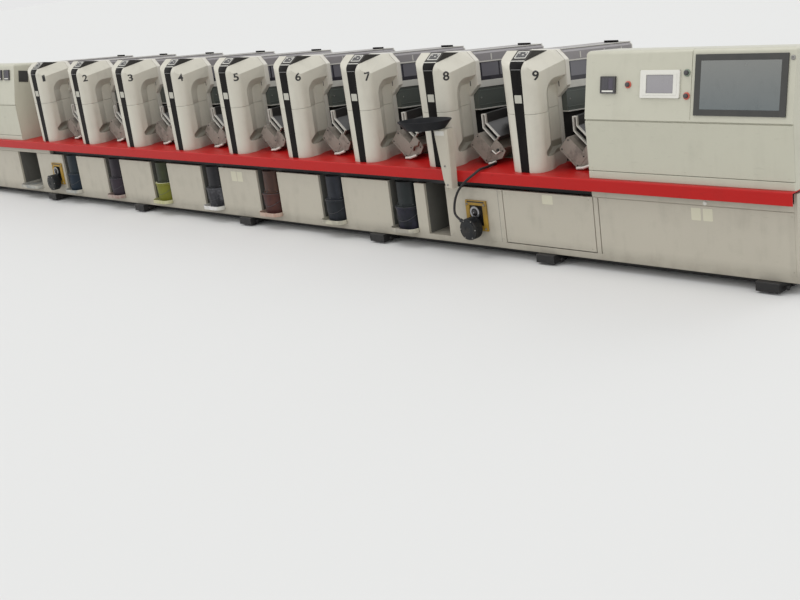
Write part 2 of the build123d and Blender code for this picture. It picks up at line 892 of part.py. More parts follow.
# Ink hose from the trough of unit eight over the shelf edge to the side pump
hose_radius = 8
hose_unit = unit_places[7]
gland_radius = 14
gland_length = 18
gland_y = 170
first_run = 20
last_run = 33
route_middle = [(374, 150, 12), (380, 115, 11.3), (386, 60, 11), (396, 0, 12), (404, -48, 16),
                (386, -82, -8), (330, -86, -42), (267, -84, -88), (219, -82, -136),
                (182, -78, -198), (162, -72, -256), (156, -66, -292)]
hose_exit = radians(nozzle_turn)


def trough_end_point(beyond):
    """Return a point on the axis of the hose gland, this far beyond the trough's low end."""
    x, z = turned(trough_length / 2 + beyond, 0)
    return Vector(hose_unit + x, face_y + gland_y, shelf_height + z)


def nozzle_point(beyond):
    """Return a point on the axis of the second side pump's nozzle, this far beyond its end."""
    reach = nozzle_end + beyond
    return Vector(plate_places[1] + drum_x - reach * sin(hose_exit), face_y - drum_middle,
                  drum_z + reach * cos(hose_exit))


hose_route = [trough_end_point(gland_length), trough_end_point(gland_length + first_run)]
for x, y, z in route_middle:
    hose_route.append(Vector(hose_unit + x, face_y + y, shelf_height + z))
hose_route += [nozzle_point(last_run), nozzle_point(0)]
hose_runs = [end - start for start, end in zip(hose_route, hose_route[1:])]
hose_radii = []
for run, next_run in zip(hose_runs, hose_runs[1:]):
    half_turn = radians(run.get_angle(next_run)) / 2
    hose_radii.append(0.45 * min(run.length, next_run.length) / tan(half_turn))
print("hose radii", [round(radius) for radius in hose_radii])

with BuildPart() as ink_hose:
    with BuildLine() as hose_path:
        FilletPolyline(*hose_route, radius=hose_radii)
    with BuildSketch(Plane(origin=hose_route[0], z_dir=hose_runs[0].normalized())):
        Circle(hose_radius)
    sweep()
print("hose length", round(hose_path.wires()[0].length))

with BuildPart() as hose_gland:
    with BuildSketch(Plane(origin=trough_end_point(0), z_dir=hose_runs[0].normalized())):
        Circle(gland_radius)
    extrude(amount=gland_length)

pieces = {
    "base_rails": base_rails, "levelling_feet": levelling_feet, "base_floor": base_floor,
    "cabinet_panels": cabinet_panels, "niche_walls": niche_walls, "niche_back": niche_back,
    "cabinet_back": cabinet_back, "cabinet_ends": cabinet_ends, "access_door": access_door,
    "console_base_panels": console_base_panels, "shelf_beam": shelf_beam,
    "base_trims": base_trims, "red_shelf": red_shelf, "deck_plate": deck_plate,
    "ink_pails": ink_pails, "pail_trays": pail_trays, "pail_pumps": pail_pumps,
    "pump_brackets": pump_brackets, "side_pumps": side_pumps, "unit_covers": unit_covers,
    "cover_strips": cover_strips, "cover_keypads": cover_keypads, "cover_rims": cover_rims,
    "hood_tops": hood_tops, "hood_latches": hood_latches, "hood_windows": hood_windows,
    "hood_bars": hood_bars, "roller_housings": roller_housings, "unit_cores": unit_cores,
    "ink_troughs": ink_troughs, "ink_channels": ink_channels,
    "bearing_brackets": bearing_brackets, "drive_frames": drive_frames,
    "drive_covers": drive_covers, "right_console": right_console,
    "left_console": left_console, "knee_panels": knee_panels,
    "control_screens": control_screens, "console_controls": console_controls,
    "tray_post": tray_post, "dish_tray": dish_tray, "ink_hose": ink_hose,
    "hose_gland": hose_gland,
}
for index, spot in enumerate(unit_spots):
    with BuildPart() as placed_roller:
        with Locations(spot):
            add(roller.part)
    pieces[f"ink_roller_{index + 1}"] = placed_roller

for name, builder in pieces.items():
    builder.part.label = name
    export_step(builder.part, f"parts/{name}.step")
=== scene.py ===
"""Looks of the nine-unit flexographic printing press: finishes, fittings, light and camera."""

import logging
import math
from collections.abc import Callable
from dataclasses import dataclass, replace
from enum import Enum

import bmesh
import bpy
from mathutils import Matrix, Vector
from mathutils.bvhtree import BVHTree


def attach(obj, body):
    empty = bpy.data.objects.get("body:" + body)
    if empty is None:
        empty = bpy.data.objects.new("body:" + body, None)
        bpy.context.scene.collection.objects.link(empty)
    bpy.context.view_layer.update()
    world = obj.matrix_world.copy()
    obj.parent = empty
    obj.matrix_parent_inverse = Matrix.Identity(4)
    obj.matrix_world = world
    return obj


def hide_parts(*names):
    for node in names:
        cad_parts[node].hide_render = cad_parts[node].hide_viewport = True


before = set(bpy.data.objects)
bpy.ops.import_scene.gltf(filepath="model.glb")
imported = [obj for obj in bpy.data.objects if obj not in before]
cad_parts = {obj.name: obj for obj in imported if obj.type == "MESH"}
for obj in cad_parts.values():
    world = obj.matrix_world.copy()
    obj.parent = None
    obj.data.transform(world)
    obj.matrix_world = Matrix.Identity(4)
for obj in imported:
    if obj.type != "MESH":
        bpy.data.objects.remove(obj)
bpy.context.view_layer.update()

log = logging.getLogger("press")

Rgb = tuple[float, float, float]
Point = tuple[float, float, float]
Pair = tuple[float, float]
Outline = list[Pair]
Spots = tuple[tuple[float, ...], ...]
Row = tuple[float | Enum, ...]
Rows = tuple[tuple, ...]

PITCH = 0.75
FIRST_UNIT_X = -3.031
UNIT_X = tuple(FIRST_UNIT_X + PITCH * index for index in range(9))
FACE_Y = -0.475
SHELF_Z = 0.583
HOSE_UNIT = 7
PAIL_COUNT = 7
PAIL_SHIFT = 0.352
PAIL_X = tuple(unit_x + PAIL_SHIFT for unit_x in UNIT_X[:PAIL_COUNT])
CORNER_STEPS = 4
EDGE_ANGLE = math.radians(38)
EDGE_WIDTH = 0.0012
WELD_DISTANCE = 0.00002


def operator(operation: str, reflected: bool = False) -> Callable:
    """Return a signal's method for an operator.

    Args:
        operation: The operation of the Math node that it adds.
        reflected: Whether the signal stands second.

    Returns:
        The method.
    """
    def method(self: "Signal", other: "Number") -> "Signal":
        """Return the Math node's result."""
        pair = {0: other, 1: self} if reflected else {0: self, 1: other}
        return self.graph.node("ShaderNodeMath", {"operation": operation}, pair)

    return method


class Signal:
    """A node output that takes part in arithmetic; each operation adds a Math node."""

    __add__, __radd__ = operator("ADD"), operator("ADD", reflected=True)
    __sub__, __rsub__ = operator("SUBTRACT"), operator("SUBTRACT", reflected=True)
    __mul__, __rmul__ = operator("MULTIPLY"), operator("MULTIPLY", reflected=True)

    def __init__(self, graph: "Graph", socket: bpy.types.NodeSocket) -> None:
        """Keep the graph and the output socket."""
        self.graph = graph
        self.socket = socket

    def above(self, edge: float, width: float) -> "Signal":
        """Return a mask that rises from 0 at the edge to 1 a width further up."""
        settings = {"operation": "MULTIPLY", "use_clamp": True}
        return self.graph.node("ShaderNodeMath", settings, {0: self - edge, 1: 1 / width})


Number = Signal | float


class Graph:
    """The node tree of a material or world, with one method that adds any node."""

    def __init__(self, name: str, world: bool = False) -> None:
        """Make a material or world with an empty node tree.

        Args:
            name: Its name.
            world: Whether it is a world.
        """
        self.owner = (bpy.data.worlds if world else bpy.data.materials).new(name)
        self.owner.use_nodes = True
        self.tree = self.owner.node_tree
        self.tree.nodes.clear()

    def node(self, kind: str, settings: dict | None = None, inputs: dict | None = None,
             output: int | str = 0) -> Signal:
        """Add a node.

        Args:
            kind: The node's type.
            settings: Attributes, set first.
            inputs: Values or signals by socket name or number.
            output: The name or number of the output to return.

        Returns:
            That output as a signal.
        """
        made = self.tree.nodes.new(kind)
        for key, value in (settings or {}).items():
            setattr(made, key, value)
        for key, value in (inputs or {}).items():
            if isinstance(value, Signal):
                self.tree.links.new(value.socket, made.inputs[key])
            else:
                made.inputs[key].default_value = value
        return Signal(self, made.outputs[output])

    def place(self, stretch: Point = (1.0, 1.0, 1.0)) -> Signal:
        """Return the surface's place in metres, stretched along each axis."""
        spot = self.node("ShaderNodeTexCoord", output="Object")
        return self.node("ShaderNodeVectorMath", {"operation": "MULTIPLY"}, {0: spot, 1: stretch})

    def axis(self, name: str) -> Signal:
        """Return the surface's place along one axis in metres."""
        spot = self.node("ShaderNodeTexCoord", output="Object")
        return self.node("ShaderNodeSeparateXYZ", inputs={0: spot}, output=name)

    def bands(self, share: Signal, colors: tuple[Rgb, ...]) -> Signal:
        """Return equal bands of colour along a value from 0 to 1.

        Args:
            share: The value.
            colors: The bands' colours.

        Returns:
            The colour.
        """
        banded = self.node("ShaderNodeValToRGB", inputs={0: share})
        ramp = banded.socket.node.color_ramp
        ramp.interpolation = "CONSTANT"
        while len(ramp.elements) < len(colors):
            ramp.elements.new(1.0)
        for index, (element, color) in enumerate(zip(ramp.elements, colors)):
            element.position = index / len(colors)
            element.color = (*color, 1.0)
        return banded

    def noise(self, scale: float, detail: float = 3.0, stretch: Point = (1.0, 1.0, 1.0),
              rough: float = 0.55) -> Signal:
        """Return noise from 0 to 1, drawn out along an axis that is stretched below 1."""
        return self.node("ShaderNodeTexNoise", inputs={
            "Vector": self.place(stretch), "Scale": scale, "Detail": detail, "Roughness": rough})

    def mix(self, factor: Number, first: Signal | Rgb, second: Signal | Rgb) -> Signal:
        """Return a mix of two colours, the first at 0 and the second at 1."""
        ends = [(*c, 1.0) if isinstance(c, tuple) else c for c in (first, second)]
        return self.node("ShaderNodeMix", {"data_type": "RGBA"},
                         {0: factor, 6: ends[0], 7: ends[1]}, output=2)

    def bump(self, height: Signal, depth: float) -> Signal:
        """Return a normal from a height from 0 to 1 and the relief's depth in metres."""
        return self.node("ShaderNodeBump", inputs={"Height": height, "Distance": depth})

    def finish(self, kind: str, shader: Signal) -> bpy.types.ID:
        """Link a shader to an output node of a kind and return the material or world."""
        self.tree.links.new(shader.socket, self.tree.nodes.new(kind).inputs["Surface"])
        return self.owner

    def surface(self, inputs: dict) -> bpy.types.Material:
        """Finish the material with a Principled BSDF of these values and signals."""
        plain = {k: ((*v, 1.0) if isinstance(v, tuple) else v) for k, v in inputs.items()}
        return self.finish("ShaderNodeOutputMaterial",
                           self.node("ShaderNodeBsdfPrincipled", inputs=plain))


def linear(*display: int) -> Rgb:
    """Return a linear colour from display red, green and blue, 0 to 255."""
    parts = [value / 255 for value in display]
    return tuple(p / 12.92 if p <= 0.04045 else ((p + 0.055) / 1.055) ** 2.4 for p in parts)


def linears(*displays: tuple[int, int, int]) -> tuple[Rgb, ...]:
    """Return linear colours from display colours."""
    return tuple(linear(*display) for display in displays)


def shade(color: Rgb, factor: float) -> Rgb:
    """Return a colour with each channel multiplied by a factor."""
    return tuple(part * factor for part in color)


@dataclass(frozen=True)
class Finish:
    """A surface finish; each subclass builds its own material."""

    name: str

    def build(self) -> bpy.types.Material:
        """Build the material."""
        raise NotImplementedError

    def material(self) -> bpy.types.Material:
        """Return the material, built once."""
        return bpy.data.materials.get(self.name) or self.build()


@dataclass(frozen=True)
class Paint(Finish):
    """Sprayed or powder-coated paint with a fine orange peel, tone drift, dust and scuffs."""

    color: Rgb
    rough: float = 0.42
    coat: float = 0.15
    drift: float = 0.10
    dust: float = 0.25
    dust_color: Rgb = linear(96, 90, 78)
    grime_top: float = 0.0
    peel: float = 0.00012
    scuffs: float = 0.2
    specular: float = 0.4

    def build(self) -> bpy.types.Material:
        """Build the paint.

        Returns:
            The material.
        """
        graph = Graph(self.name)
        clouds = graph.noise(1.7, 4.0)
        blotches = graph.noise(9.0, 5.0)
        streaks = graph.noise(14.0, 4.0, (1.0, 1.0, 0.12))
        scratches = graph.noise(120.0, 3.0, (0.12, 1.0, 0.5)).above(0.66, 0.05)
        tone = graph.mix(clouds, shade(self.color, 1 - self.drift),
                         shade(self.color, 1 + self.drift * 0.6))
        base = graph.mix((streaks * blotches).above(0.24, 0.3) * self.dust, tone, self.dust_color)
        if self.grime_top > 0:
            low = (self.grime_top - graph.axis("Z")).above(0.0, self.grime_top * 0.8)
            base = graph.mix(low * (blotches * 0.9 + 0.25) * 0.75, base, self.dust_color)
        base = graph.mix(scratches * (0.35 * self.scuffs), base, shade(self.dust_color, 0.7))
        return graph.surface({
            "Base Color": self.tint(graph, base), "Coat Weight": self.coat,
            "Roughness": self.rough + (blotches - 0.5) * 0.16 + scratches * 0.15,
            "Coat Roughness": 0.25, "Specular IOR Level": self.specular,
            "Normal": graph.bump(graph.noise(420.0, 2.0) + blotches * 0.5, self.peel),
        })

    def tint(self, graph: Graph, base: Signal) -> Signal:
        """Return the base colour; subclasses change it along the press."""
        return base


@dataclass(frozen=True)
class Gloss(Finish):
    """Glossy plastic or acrylic with smears that dull it in places."""

    color: Rgb
    rough: float = 0.12
    smear: float = 0.2
    dust: float = 0.12
    specular: float = 0.5
    dust_color: Rgb = linear(120, 115, 108)

    def build(self) -> bpy.types.Material:
        """Build the plastic.

        Returns:
            The material.
        """
        graph = Graph(self.name)
        smears = graph.noise(11.0, 5.0, (1.0, 1.0, 0.4))
        specks = graph.noise(260.0, 2.0).above(0.62, 0.1)
        base = graph.mix(smears.above(0.45, 0.4) * self.dust, self.color, self.dust_color)
        return graph.surface({
            "Base Color": graph.mix(specks * self.dust, base, self.dust_color),
            "Roughness": self.rough + smears * self.smear, "Specular IOR Level": self.specular,
            "Normal": graph.bump(graph.noise(60.0, 2.0), 0.00008),
        })


@dataclass(frozen=True)
class Metal(Finish):
    """Bare metal with a drawn grain and stains."""

    color: Rgb
    rough: float = 0.35
    metal: float = 0.9
    stain: float = 0.4
    stain_color: Rgb = linear(58, 52, 48)
    grain: Point = (1.0, 0.03, 1.0)

    def build(self) -> bpy.types.Material:
        """Build the metal.

        Returns:
            The material.
        """
        graph = Graph(self.name)
        grain = graph.noise(700.0, 3.0, self.grain)
        stains = graph.noise(13.0, 6.0, rough=0.65)
        mask = stains.above(0.5, 0.18) * self.stain
        base = graph.mix(grain, shade(self.color, 0.85), shade(self.color, 1.1))
        return graph.surface({
            "Base Color": graph.mix(mask, base, self.stain_color),
            "Roughness": self.rough + grain * 0.12 + mask * 0.4,
            "Metallic": (1.0 - mask) * self.metal,
            "Normal": graph.bump(grain + stains * 0.6, 0.0002),
        })


@dataclass(frozen=True)
class Rubber(Finish):
    """Matt rubber with a ground surface and dried ink."""

    color: Rgb
    ink: Rgb = linear(60, 44, 52)

    def build(self) -> bpy.types.Material:
        """Build the rubber.

        Returns:
            The material.
        """
        graph = Graph(self.name)
        ink = graph.noise(8.0, 5.0, (1.0, 0.3, 1.0)).above(0.5, 0.2)
        rings = graph.noise(500.0, 2.0, (0.05, 1.0, 0.05))
        return graph.surface({
            "Base Color": graph.mix(ink * 0.4, self.color, self.ink),
            "Roughness": 0.62 - ink * 0.25, "Normal": graph.bump(rings, 0.0002),
        })


@dataclass(frozen=True)
class InkStained(Finish):
    """Surface that takes the ink colour of the unit it stands at."""

    bases: tuple[Rgb, ...]
    spills: tuple[Rgb, ...]
    amount: float = 0.6
    rough: float = 0.35

    def build(self) -> bpy.types.Material:
        """Build the surface.

        Returns:
            The material.
        """
        graph = Graph(self.name)
        share = (graph.axis("X") - PAIL_X[0] + PITCH / 2) * (1 / (PITCH * PAIL_COUNT))
        base, spill = [graph.bands(share, colors) for colors in (self.bases, self.spills)]
        runs = graph.noise(22.0, 4.0, (1.0, 1.0, 0.25))
        blots = graph.noise(11.0, 3.0).above(0.5, 0.12)
        tone = graph.mix(runs.above(0.42, 0.25) * 0.5, base, spill)
        return graph.surface({
            "Base Color": graph.mix(blots * self.amount, tone, spill),
            "Roughness": self.rough + runs * 0.25, "Specular IOR Level": 0.25,
            "Normal": graph.bump(runs + blots, 0.0004),
        })


@dataclass(frozen=True)
class Rail(Paint):
    """Light paint at the front end of a rail; the dark length behind is painted shade between the
    units.
    """

    front: float = FACE_Y + 0.202
    dark: Rgb = linear(28, 27, 29)

    def tint(self, graph: Graph, base: Signal) -> Signal:
        """Return the base colour, darkened with painted shade behind the front end."""
        return graph.mix((graph.axis("Y") - self.front).above(0.0, 0.008) * 0.96, base, self.dark)


@dataclass(frozen=True)
class Shell(Paint):
    """Cover paint with painted shade in the hollows at the foot of each side scoop, under the head.
    """

    half: float = 0.1275
    low: float = 0.668
    high: float = 0.750
    front: float = FACE_Y + 0.058
    shadow: Rgb = linear(118, 112, 98)

    def tint(self, graph: Graph, base: Signal) -> Signal:
        """Return the base colour, with painted shade in the hollows.

        Args:
            graph: The material's graph.
            base: The colour so far.

        Returns:
            The colour with its painted shade in the hollows.
        """
        # Painted shade: the floor of each side scoop, which the head above keeps from the light, is
        # darkened towards the shadow colour.
        off = graph.node("ShaderNodeMath", {"operation": "PINGPONG"},
                         {0: graph.axis("X") - FIRST_UNIT_X, 1: PITCH / 2})
        height = graph.axis("Z")
        mask = (self.half - off).above(0.0, 0.002) * (height - self.low).above(0.0, 0.006)
        mask = mask * (self.high - height).above(0.0, 0.010)
        mask = mask * (graph.axis("Y") - self.front).above(0.0, 0.020)
        return graph.mix(mask * 0.85, base, self.shadow)


@dataclass(frozen=True)
class Display(Finish):
    """Screen glass lighter at the top by a painted reflection, under a faint haze of dust."""

    color: Rgb
    low_color: Rgb
    low: float
    high: float

    def build(self) -> bpy.types.Material:
        """Build the glass.

        Returns:
            The material.
        """
        graph = Graph(self.name)
        share = (graph.axis("Z") - self.low).above(0.0, self.high - self.low)
        smears = graph.noise(40.0, 3.0, (1.0, 1.0, 0.3)).above(0.55, 0.2)
        # Painted reflection: the glass is lighter at the top and darker at the bottom.
        base = graph.mix(share, self.low_color, self.color)
        return graph.surface({
            "Base Color": graph.mix(graph.noise(5.0, 5.0) * 0.22, base, shade(self.color, 1.35)),
            "Roughness": 0.16 + smears * 0.18, "Coat Weight": 0.5, "Coat Roughness": 0.05,
            "Normal": graph.bump(smears, 0.00003),
        })


class Coat(Enum):
    """The finishes of the press, by the node or fitting that wears them."""

    SHELL = Shell("shell_cream", linear(197, 193, 179), 0.38, 0.2, 0.05, 0.16, scuffs=0.15)
    # Painted light: the rim cream is a lighter copy of the cover cream, for the rims' upward bevel
    # that catches the overhead light.
    RIM = Paint("rim_cream", linear(207, 203, 192), 0.38, 0.2, 0.05, 0.16)
    CABINET = Paint("cabinet_cream", linear(181, 175, 160), 0.45, 0.1, 0.06, 0.22, grime_top=0.16)
    CONSOLE = Paint("console_cream", linear(186, 184, 167), 0.4, 0.2, 0.04, 0.12)
    RED = Paint("shelf_red", linear(178, 24, 22), 0.36, 0.05, 0.10, 0.10,
                dust_color=linear(110, 34, 30), scuffs=0.5, specular=0.2)
    DECK = Paint("deck_cream", linear(160, 155, 140), 0.5, 0.0, 0.08, 0.3)
    BLACK = Paint("frame_black", linear(30, 29, 29), 0.5, 0.0, 0.15, 0.35,
                  dust_color=linear(78, 74, 68))
    # Painted shade: the niche grey is darker than the cabinet cream, for the deep niches under the
    # shelf.
    NICHE = Paint("niche_paint", linear(98, 97, 91), 0.55, 0.0, 0.12, 0.45,
                  dust_color=linear(50, 46, 44))
    HOOD = Paint("hood_paint", linear(139, 135, 136), 0.38, 0.15, 0.07, 0.2)
    BAR = Paint("bar_grey", linear(198, 196, 188), 0.4, 0.2, 0.05, 0.2)
    HOUSING = Paint("housing_dark", linear(84, 89, 84), 0.42, 0.1, 0.1, 0.25)
    HOUSING_LINE = Paint("housing_line", linear(104, 110, 104), 0.4, 0.1)
    CHANNEL = Rail("channel_grey", linear(190, 187, 178), 0.4, 0.1, 0.08, 0.35)
    PUMP = Paint("pump_black", linear(26, 28, 30), 0.45, 0.1, 0.15, 0.4, specular=0.25)
    YELLOW = Paint("yellow_worn", linear(166, 132, 50), 0.5, 0.0, 0.15, 0.6,
                   dust_color=linear(74, 60, 36), scuffs=0.8)
    BROWN = Paint("lever_brown", linear(88, 54, 40), 0.4, 0.1)
    WHITE = Paint("white_trim", linear(214, 212, 203), 0.35, 0.3, 0.04, 0.12)
    LABEL = Paint("label_white", linear(182, 180, 168), 0.5, 0.0, 0.04, 0.2)
    STICKER = Paint("sticker_cream", linear(201, 197, 175), 0.45, 0.1, 0.04, 0.1)
    PAILS = InkStained(
        "pail_ink",
        bases=linears((26, 36, 46), (50, 42, 50), (112, 112, 34), (40, 40, 44), (66, 38, 36),
                      (26, 30, 34), (24, 27, 31)),
        spills=linears((28, 42, 56), (48, 40, 48), (118, 122, 44), (104, 104, 108), (84, 50, 42),
                       (42, 46, 54), (46, 44, 60)))
    PUMPS = InkStained(
        "pump_ink", amount=0.4,
        bases=linears((26, 34, 37), (34, 29, 35), (37, 41, 28), (28, 28, 31), (56, 38, 32),
                      (26, 29, 36), (23, 27, 28)),
        spills=linears((40, 52, 62), (46, 38, 44), (60, 66, 38), (46, 44, 46), (86, 56, 42),
                       (42, 46, 54), (38, 44, 44)))
    TRAYS = InkStained(
        "tray_stained", amount=0.5, rough=0.45,
        bases=linears((182, 178, 166), (172, 158, 148), (188, 184, 150), (190, 188, 180),
                      (184, 164, 148), (186, 182, 164), (182, 178, 162)),
        spills=linears((120, 128, 132), (124, 88, 84), (156, 156, 84), (224, 222, 222),
                       (154, 108, 94), (140, 136, 124), (128, 122, 118)))
    STRIP = Gloss("strip_black", linear(17, 15, 15), 0.30, 0.15, 0.05, specular=0.08)
    BROW = Gloss("brow_grey", linear(52, 50, 47), 0.35, specular=0.2)
    WINDOW = Gloss("window_tint", linear(106, 105, 111), 0.1, 0.15)
    WINDOW_LOW = Gloss("window_low", linear(44, 42, 50), 0.15)
    SCREEN = Gloss("screen_bezel", linear(62, 62, 60), 0.25, specular=0.25)
    DISH = Gloss("dish_lacquer", linear(26, 27, 30), 0.35, 0.2, 0.06, specular=0.15)
    CONTROL = Gloss("control_dark", linear(58, 56, 58), 0.3)
    INK_BLACK = Gloss("ink_black", linear(24, 22, 23), 0.3)
    # Painted glare: on the key panels this grey is lighter than their black face; the thin joint
    # and trim lines wear it too.
    KEYPAD = Gloss("keypad_grey", linear(104, 104, 102), 0.3)
    KEY_LIGHT = Gloss("key_light", linear(196, 192, 186), 0.3)
    METER_VIOLET = Gloss("meter_violet", linear(58, 52, 66), 0.2)
    LAMP_RED = Gloss("lamp_red", linear(190, 84, 66), 0.2)
    LAMP_GREEN = Gloss("lamp_green", linear(120, 132, 116), 0.2)
    PAIL_RIM = Gloss("pail_rim", linear(62, 64, 66), 0.3)
    PAIL_RIM_LIGHT = Gloss("pail_rim_light", linear(214, 212, 178), 0.3)
    GLASS = Display("screen_glass", linear(100, 102, 98), linear(66, 77, 79), 1.000, 1.260)
    GLASS_PALE = Display("screen_pale", linear(134, 131, 133), linear(125, 122, 126), 1.050,
                         1.190)
    TROUGH = Metal("trough_steel", linear(146, 138, 128), 0.5, 0.3, 0.55)
    STEEL = Metal("bolt_steel", linear(150, 148, 144), 0.35, 0.85, 0.3)
    CHROME = Metal("ring_chrome", linear(168, 168, 170), 0.2, 1.0, 0.4)
    ROLLER = Rubber("roller_black", linear(24, 24, 25))

    def material(self) -> bpy.types.Material:
        """Return the finish's material."""
        return self.value.material()


WORN_BY: dict[Coat, str] = {
    Coat.BLACK: "base_rails levelling_feet shelf_beam unit_cores",
    Coat.CABINET: "base_floor cabinet_panels cabinet_back cabinet_ends access_door "
                  "console_base_panels base_trims tray_post drive_covers",
    Coat.NICHE: "niche_walls niche_back",
    Coat.CONSOLE: "right_console left_console knee_panels",
    Coat.HOOD: "hood_tops drive_frames",
    Coat.HOUSING: "roller_housings bearing_brackets",
    Coat.STRIP: "cover_strips hood_latches",
    Coat.PUMP: "side_pumps hose_gland",
    Coat.SHELL: "unit_covers", Coat.RIM: "cover_rims", Coat.RED: "red_shelf",
    Coat.DECK: "deck_plate", Coat.TRAYS: "pail_trays", Coat.PAILS: "ink_pails",
    Coat.PUMPS: "pail_pumps", Coat.YELLOW: "pump_brackets", Coat.WINDOW: "hood_windows",
    Coat.BAR: "hood_bars", Coat.TROUGH: "ink_troughs", Coat.CHANNEL: "ink_channels",
    Coat.SCREEN: "control_screens", Coat.CONTROL: "console_controls", Coat.DISH: "dish_tray",
    Coat.BROW: "cover_keypads",
}
NODE_COATS = {node: coat for coat, nodes in WORN_BY.items() for node in nodes.split()}

EDGE_WIDTHS: dict[Coat, float] = {
    Coat.SHELL: 0.0025, Coat.RIM: 0.0020, Coat.CABINET: 0.0015, Coat.CONSOLE: 0.0025,
    Coat.RED: 0.0030, Coat.HOOD: 0.0020, Coat.BAR: 0.0020, Coat.SCREEN: 0.0008, Coat.STRIP: 0.0008,
}

HOSE_ROUTE: tuple[Point, ...] = (
    (2.56626, -0.305, 0.61573), (2.58112, -0.305, 0.60235), (2.593, -0.325, 0.595),
    (2.599, -0.360, 0.5943), (2.605, -0.415, 0.594), (2.615, -0.475, 0.595),
    (2.623, -0.523, 0.599), (2.605, -0.557, 0.575), (2.549, -0.561, 0.541),
    (2.486, -0.559, 0.495), (2.438, -0.557, 0.447), (2.401, -0.553, 0.385),
    (2.381, -0.547, 0.327), (2.375, -0.541, 0.291), (2.39095, -0.538, 0.266),
    (2.41953, -0.538, 0.2495),
)


def put(name: str, data: bpy.types.ID) -> bpy.types.Object:
    """Return a new object of a mesh, curve, lamp or camera, linked to the scene."""
    bpy.context.scene.collection.objects.link(made := bpy.data.objects.new(name, data))
    return made


def round_edges(piece: bpy.types.Object, width: float, weld: bool = False) -> None:
    """Round an object's sharp edges with modifiers.

    Args:
        piece: The object.
        width: The round's width in metres.
        weld: Whether its faces have to be joined first.
    """
    if weld:
        piece.modifiers.new("join_faces", "WELD").merge_threshold = WELD_DISTANCE
    bevel = piece.modifiers.new("edge_round", "BEVEL")
    bevel.width = width
    bevel.segments = 2
    bevel.limit_method = "ANGLE"
    bevel.angle_limit = EDGE_ANGLE
    bevel.use_clamp_overlap = True


@dataclass
class PhotoCamera:
    """The camera at the photograph's viewing angle."""

    lens: float = 56.1
    sensor: float = 36.0
    clip_end: float = 100.0
    spot: Point = (8.0217, -6.3196, 2.2152)
    right: Point = (0.69916064, 0.7032616, -0.12883135)
    down: Point = (0.12237681, -0.29524627, -0.94755135)
    forward: Point = (-0.70441345, 0.64672464, -0.29248749)

    def build(self) -> None:
        """Make the camera and use it."""
        data = bpy.data.cameras.new("photo_camera")
        data.lens = self.lens
        data.sensor_width = self.sensor
        data.clip_end = self.clip_end
        camera = put("photo_camera", data)
        axes = [Vector(self.right), -Vector(self.down), -Vector(self.forward)]
        turn = Matrix([axis.normalized() for axis in axes]).transposed()
        camera.matrix_world = Matrix.Translation(self.spot) @ turn.to_4x4()
        bpy.context.scene.camera = camera
        log.info("camera at %s", self.spot)


@dataclass
class InkHose:
    """The rubber hose that brings ink from the side pump up to the trough of unit eight."""

    diameter: float = 0.016
    length: float = 0.726

    def build(self) -> None:
        """Lay the hose along its route as one smooth curve."""
        data = bpy.data.curves.new("ink_hose_tube", "CURVE")
        data.dimensions = "3D"
        data.bevel_depth = self.diameter / 2
        data.bevel_resolution = 5
        data.use_fill_caps = True
        line = data.splines.new("NURBS")
        line.points.add(len(HOSE_ROUTE) - 1)
        for point, spot in zip(line.points, HOSE_ROUTE):
            point.co = (*spot, 1.0)
        line.order_u = 3
        line.use_endpoint_u = True
        line.resolution_u = 10
        hose = put("ink_hose_tube", data)
        data.materials.append(Coat.ROLLER.material())
        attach(hose, "press")
        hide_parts("ink_hose")
        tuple(HOSE_ROUTE[0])
        log.info("ink hose laid")


@dataclass
class Studio:
    """A pale floor under soft suns and an even sky."""

    floor_half: float = 60.0
    floor_color: Rgb = linear(213, 213, 211)
    sky_color: Rgb = (0.97, 0.98, 1.0)
    sky_strength: float = 0.72
    backdrop_color: Rgb = (0.80, 0.80, 0.80)
    suns: tuple[tuple[str, Point, float, float], ...] = (
        ("overhead", (-0.30, -0.12, 0.94), 0.96, 40.0),
        ("front_right", (0.86, -0.32, 0.40), 0.76, 50.0),
        ("front_left", (-0.62, -0.64, 0.45), 0.50, 50.0),
        ("back", (0.10, 0.75, 0.60), 0.35, 45.0),
    )

    def build(self) -> None:
        """Make the floor, the world and the suns: name, direction, strength and spread."""
        self._floor()
        self._world()
        for name, toward, strength, spread in self.suns:
            data = bpy.data.lights.new(name, "SUN")
            data.energy = strength
            data.angle = math.radians(spread)
            turn = (-Vector(toward)).to_track_quat("-Z", "Y")
            put(name, data).rotation_euler = turn.to_euler()
        log.info("studio lit by %d suns", len(self.suns))

    def _floor(self) -> None:
        """Make the floor as one pale sheet."""
        mesh = bpy.data.meshes.new("studio_floor")
        half = self.floor_half
        mesh.from_pydata([(-half, -half, 0), (half, -half, 0), (half, half, 0), (-half, half, 0)],
                         [], [(0, 1, 2, 3)])
        mesh.materials.append(Graph("studio_floor").surface({
            "Base Color": self.floor_color, "Roughness": 0.85, "Specular IOR Level": 0.0}))
        put("studio_floor", mesh)

    def _world(self) -> None:
        """Light the scene evenly and show straight and mirrored rays a pale background."""
        graph = Graph("studio", world=True)
        seen = graph.node("ShaderNodeLightPath", output="Is Camera Ray")
        for name in ("Is Glossy Ray", "Is Transmission Ray"):
            rays = graph.node("ShaderNodeLightPath", output=name)
            seen = graph.node("ShaderNodeMath", {"operation": "ADD", "use_clamp": True},
                              {0: seen, 1: rays})
        sky, backdrop = [
            graph.node("ShaderNodeBackground", inputs={"Color": (*color, 1.0), "Strength": power})
            for color, power in ((self.sky_color, self.sky_strength), (self.backdrop_color, 1.0))]
        mixed = graph.node("ShaderNodeMixShader", inputs={0: seen, 1: sky, 2: backdrop})
        bpy.context.scene.world = graph.finish("ShaderNodeOutputWorld", mixed)


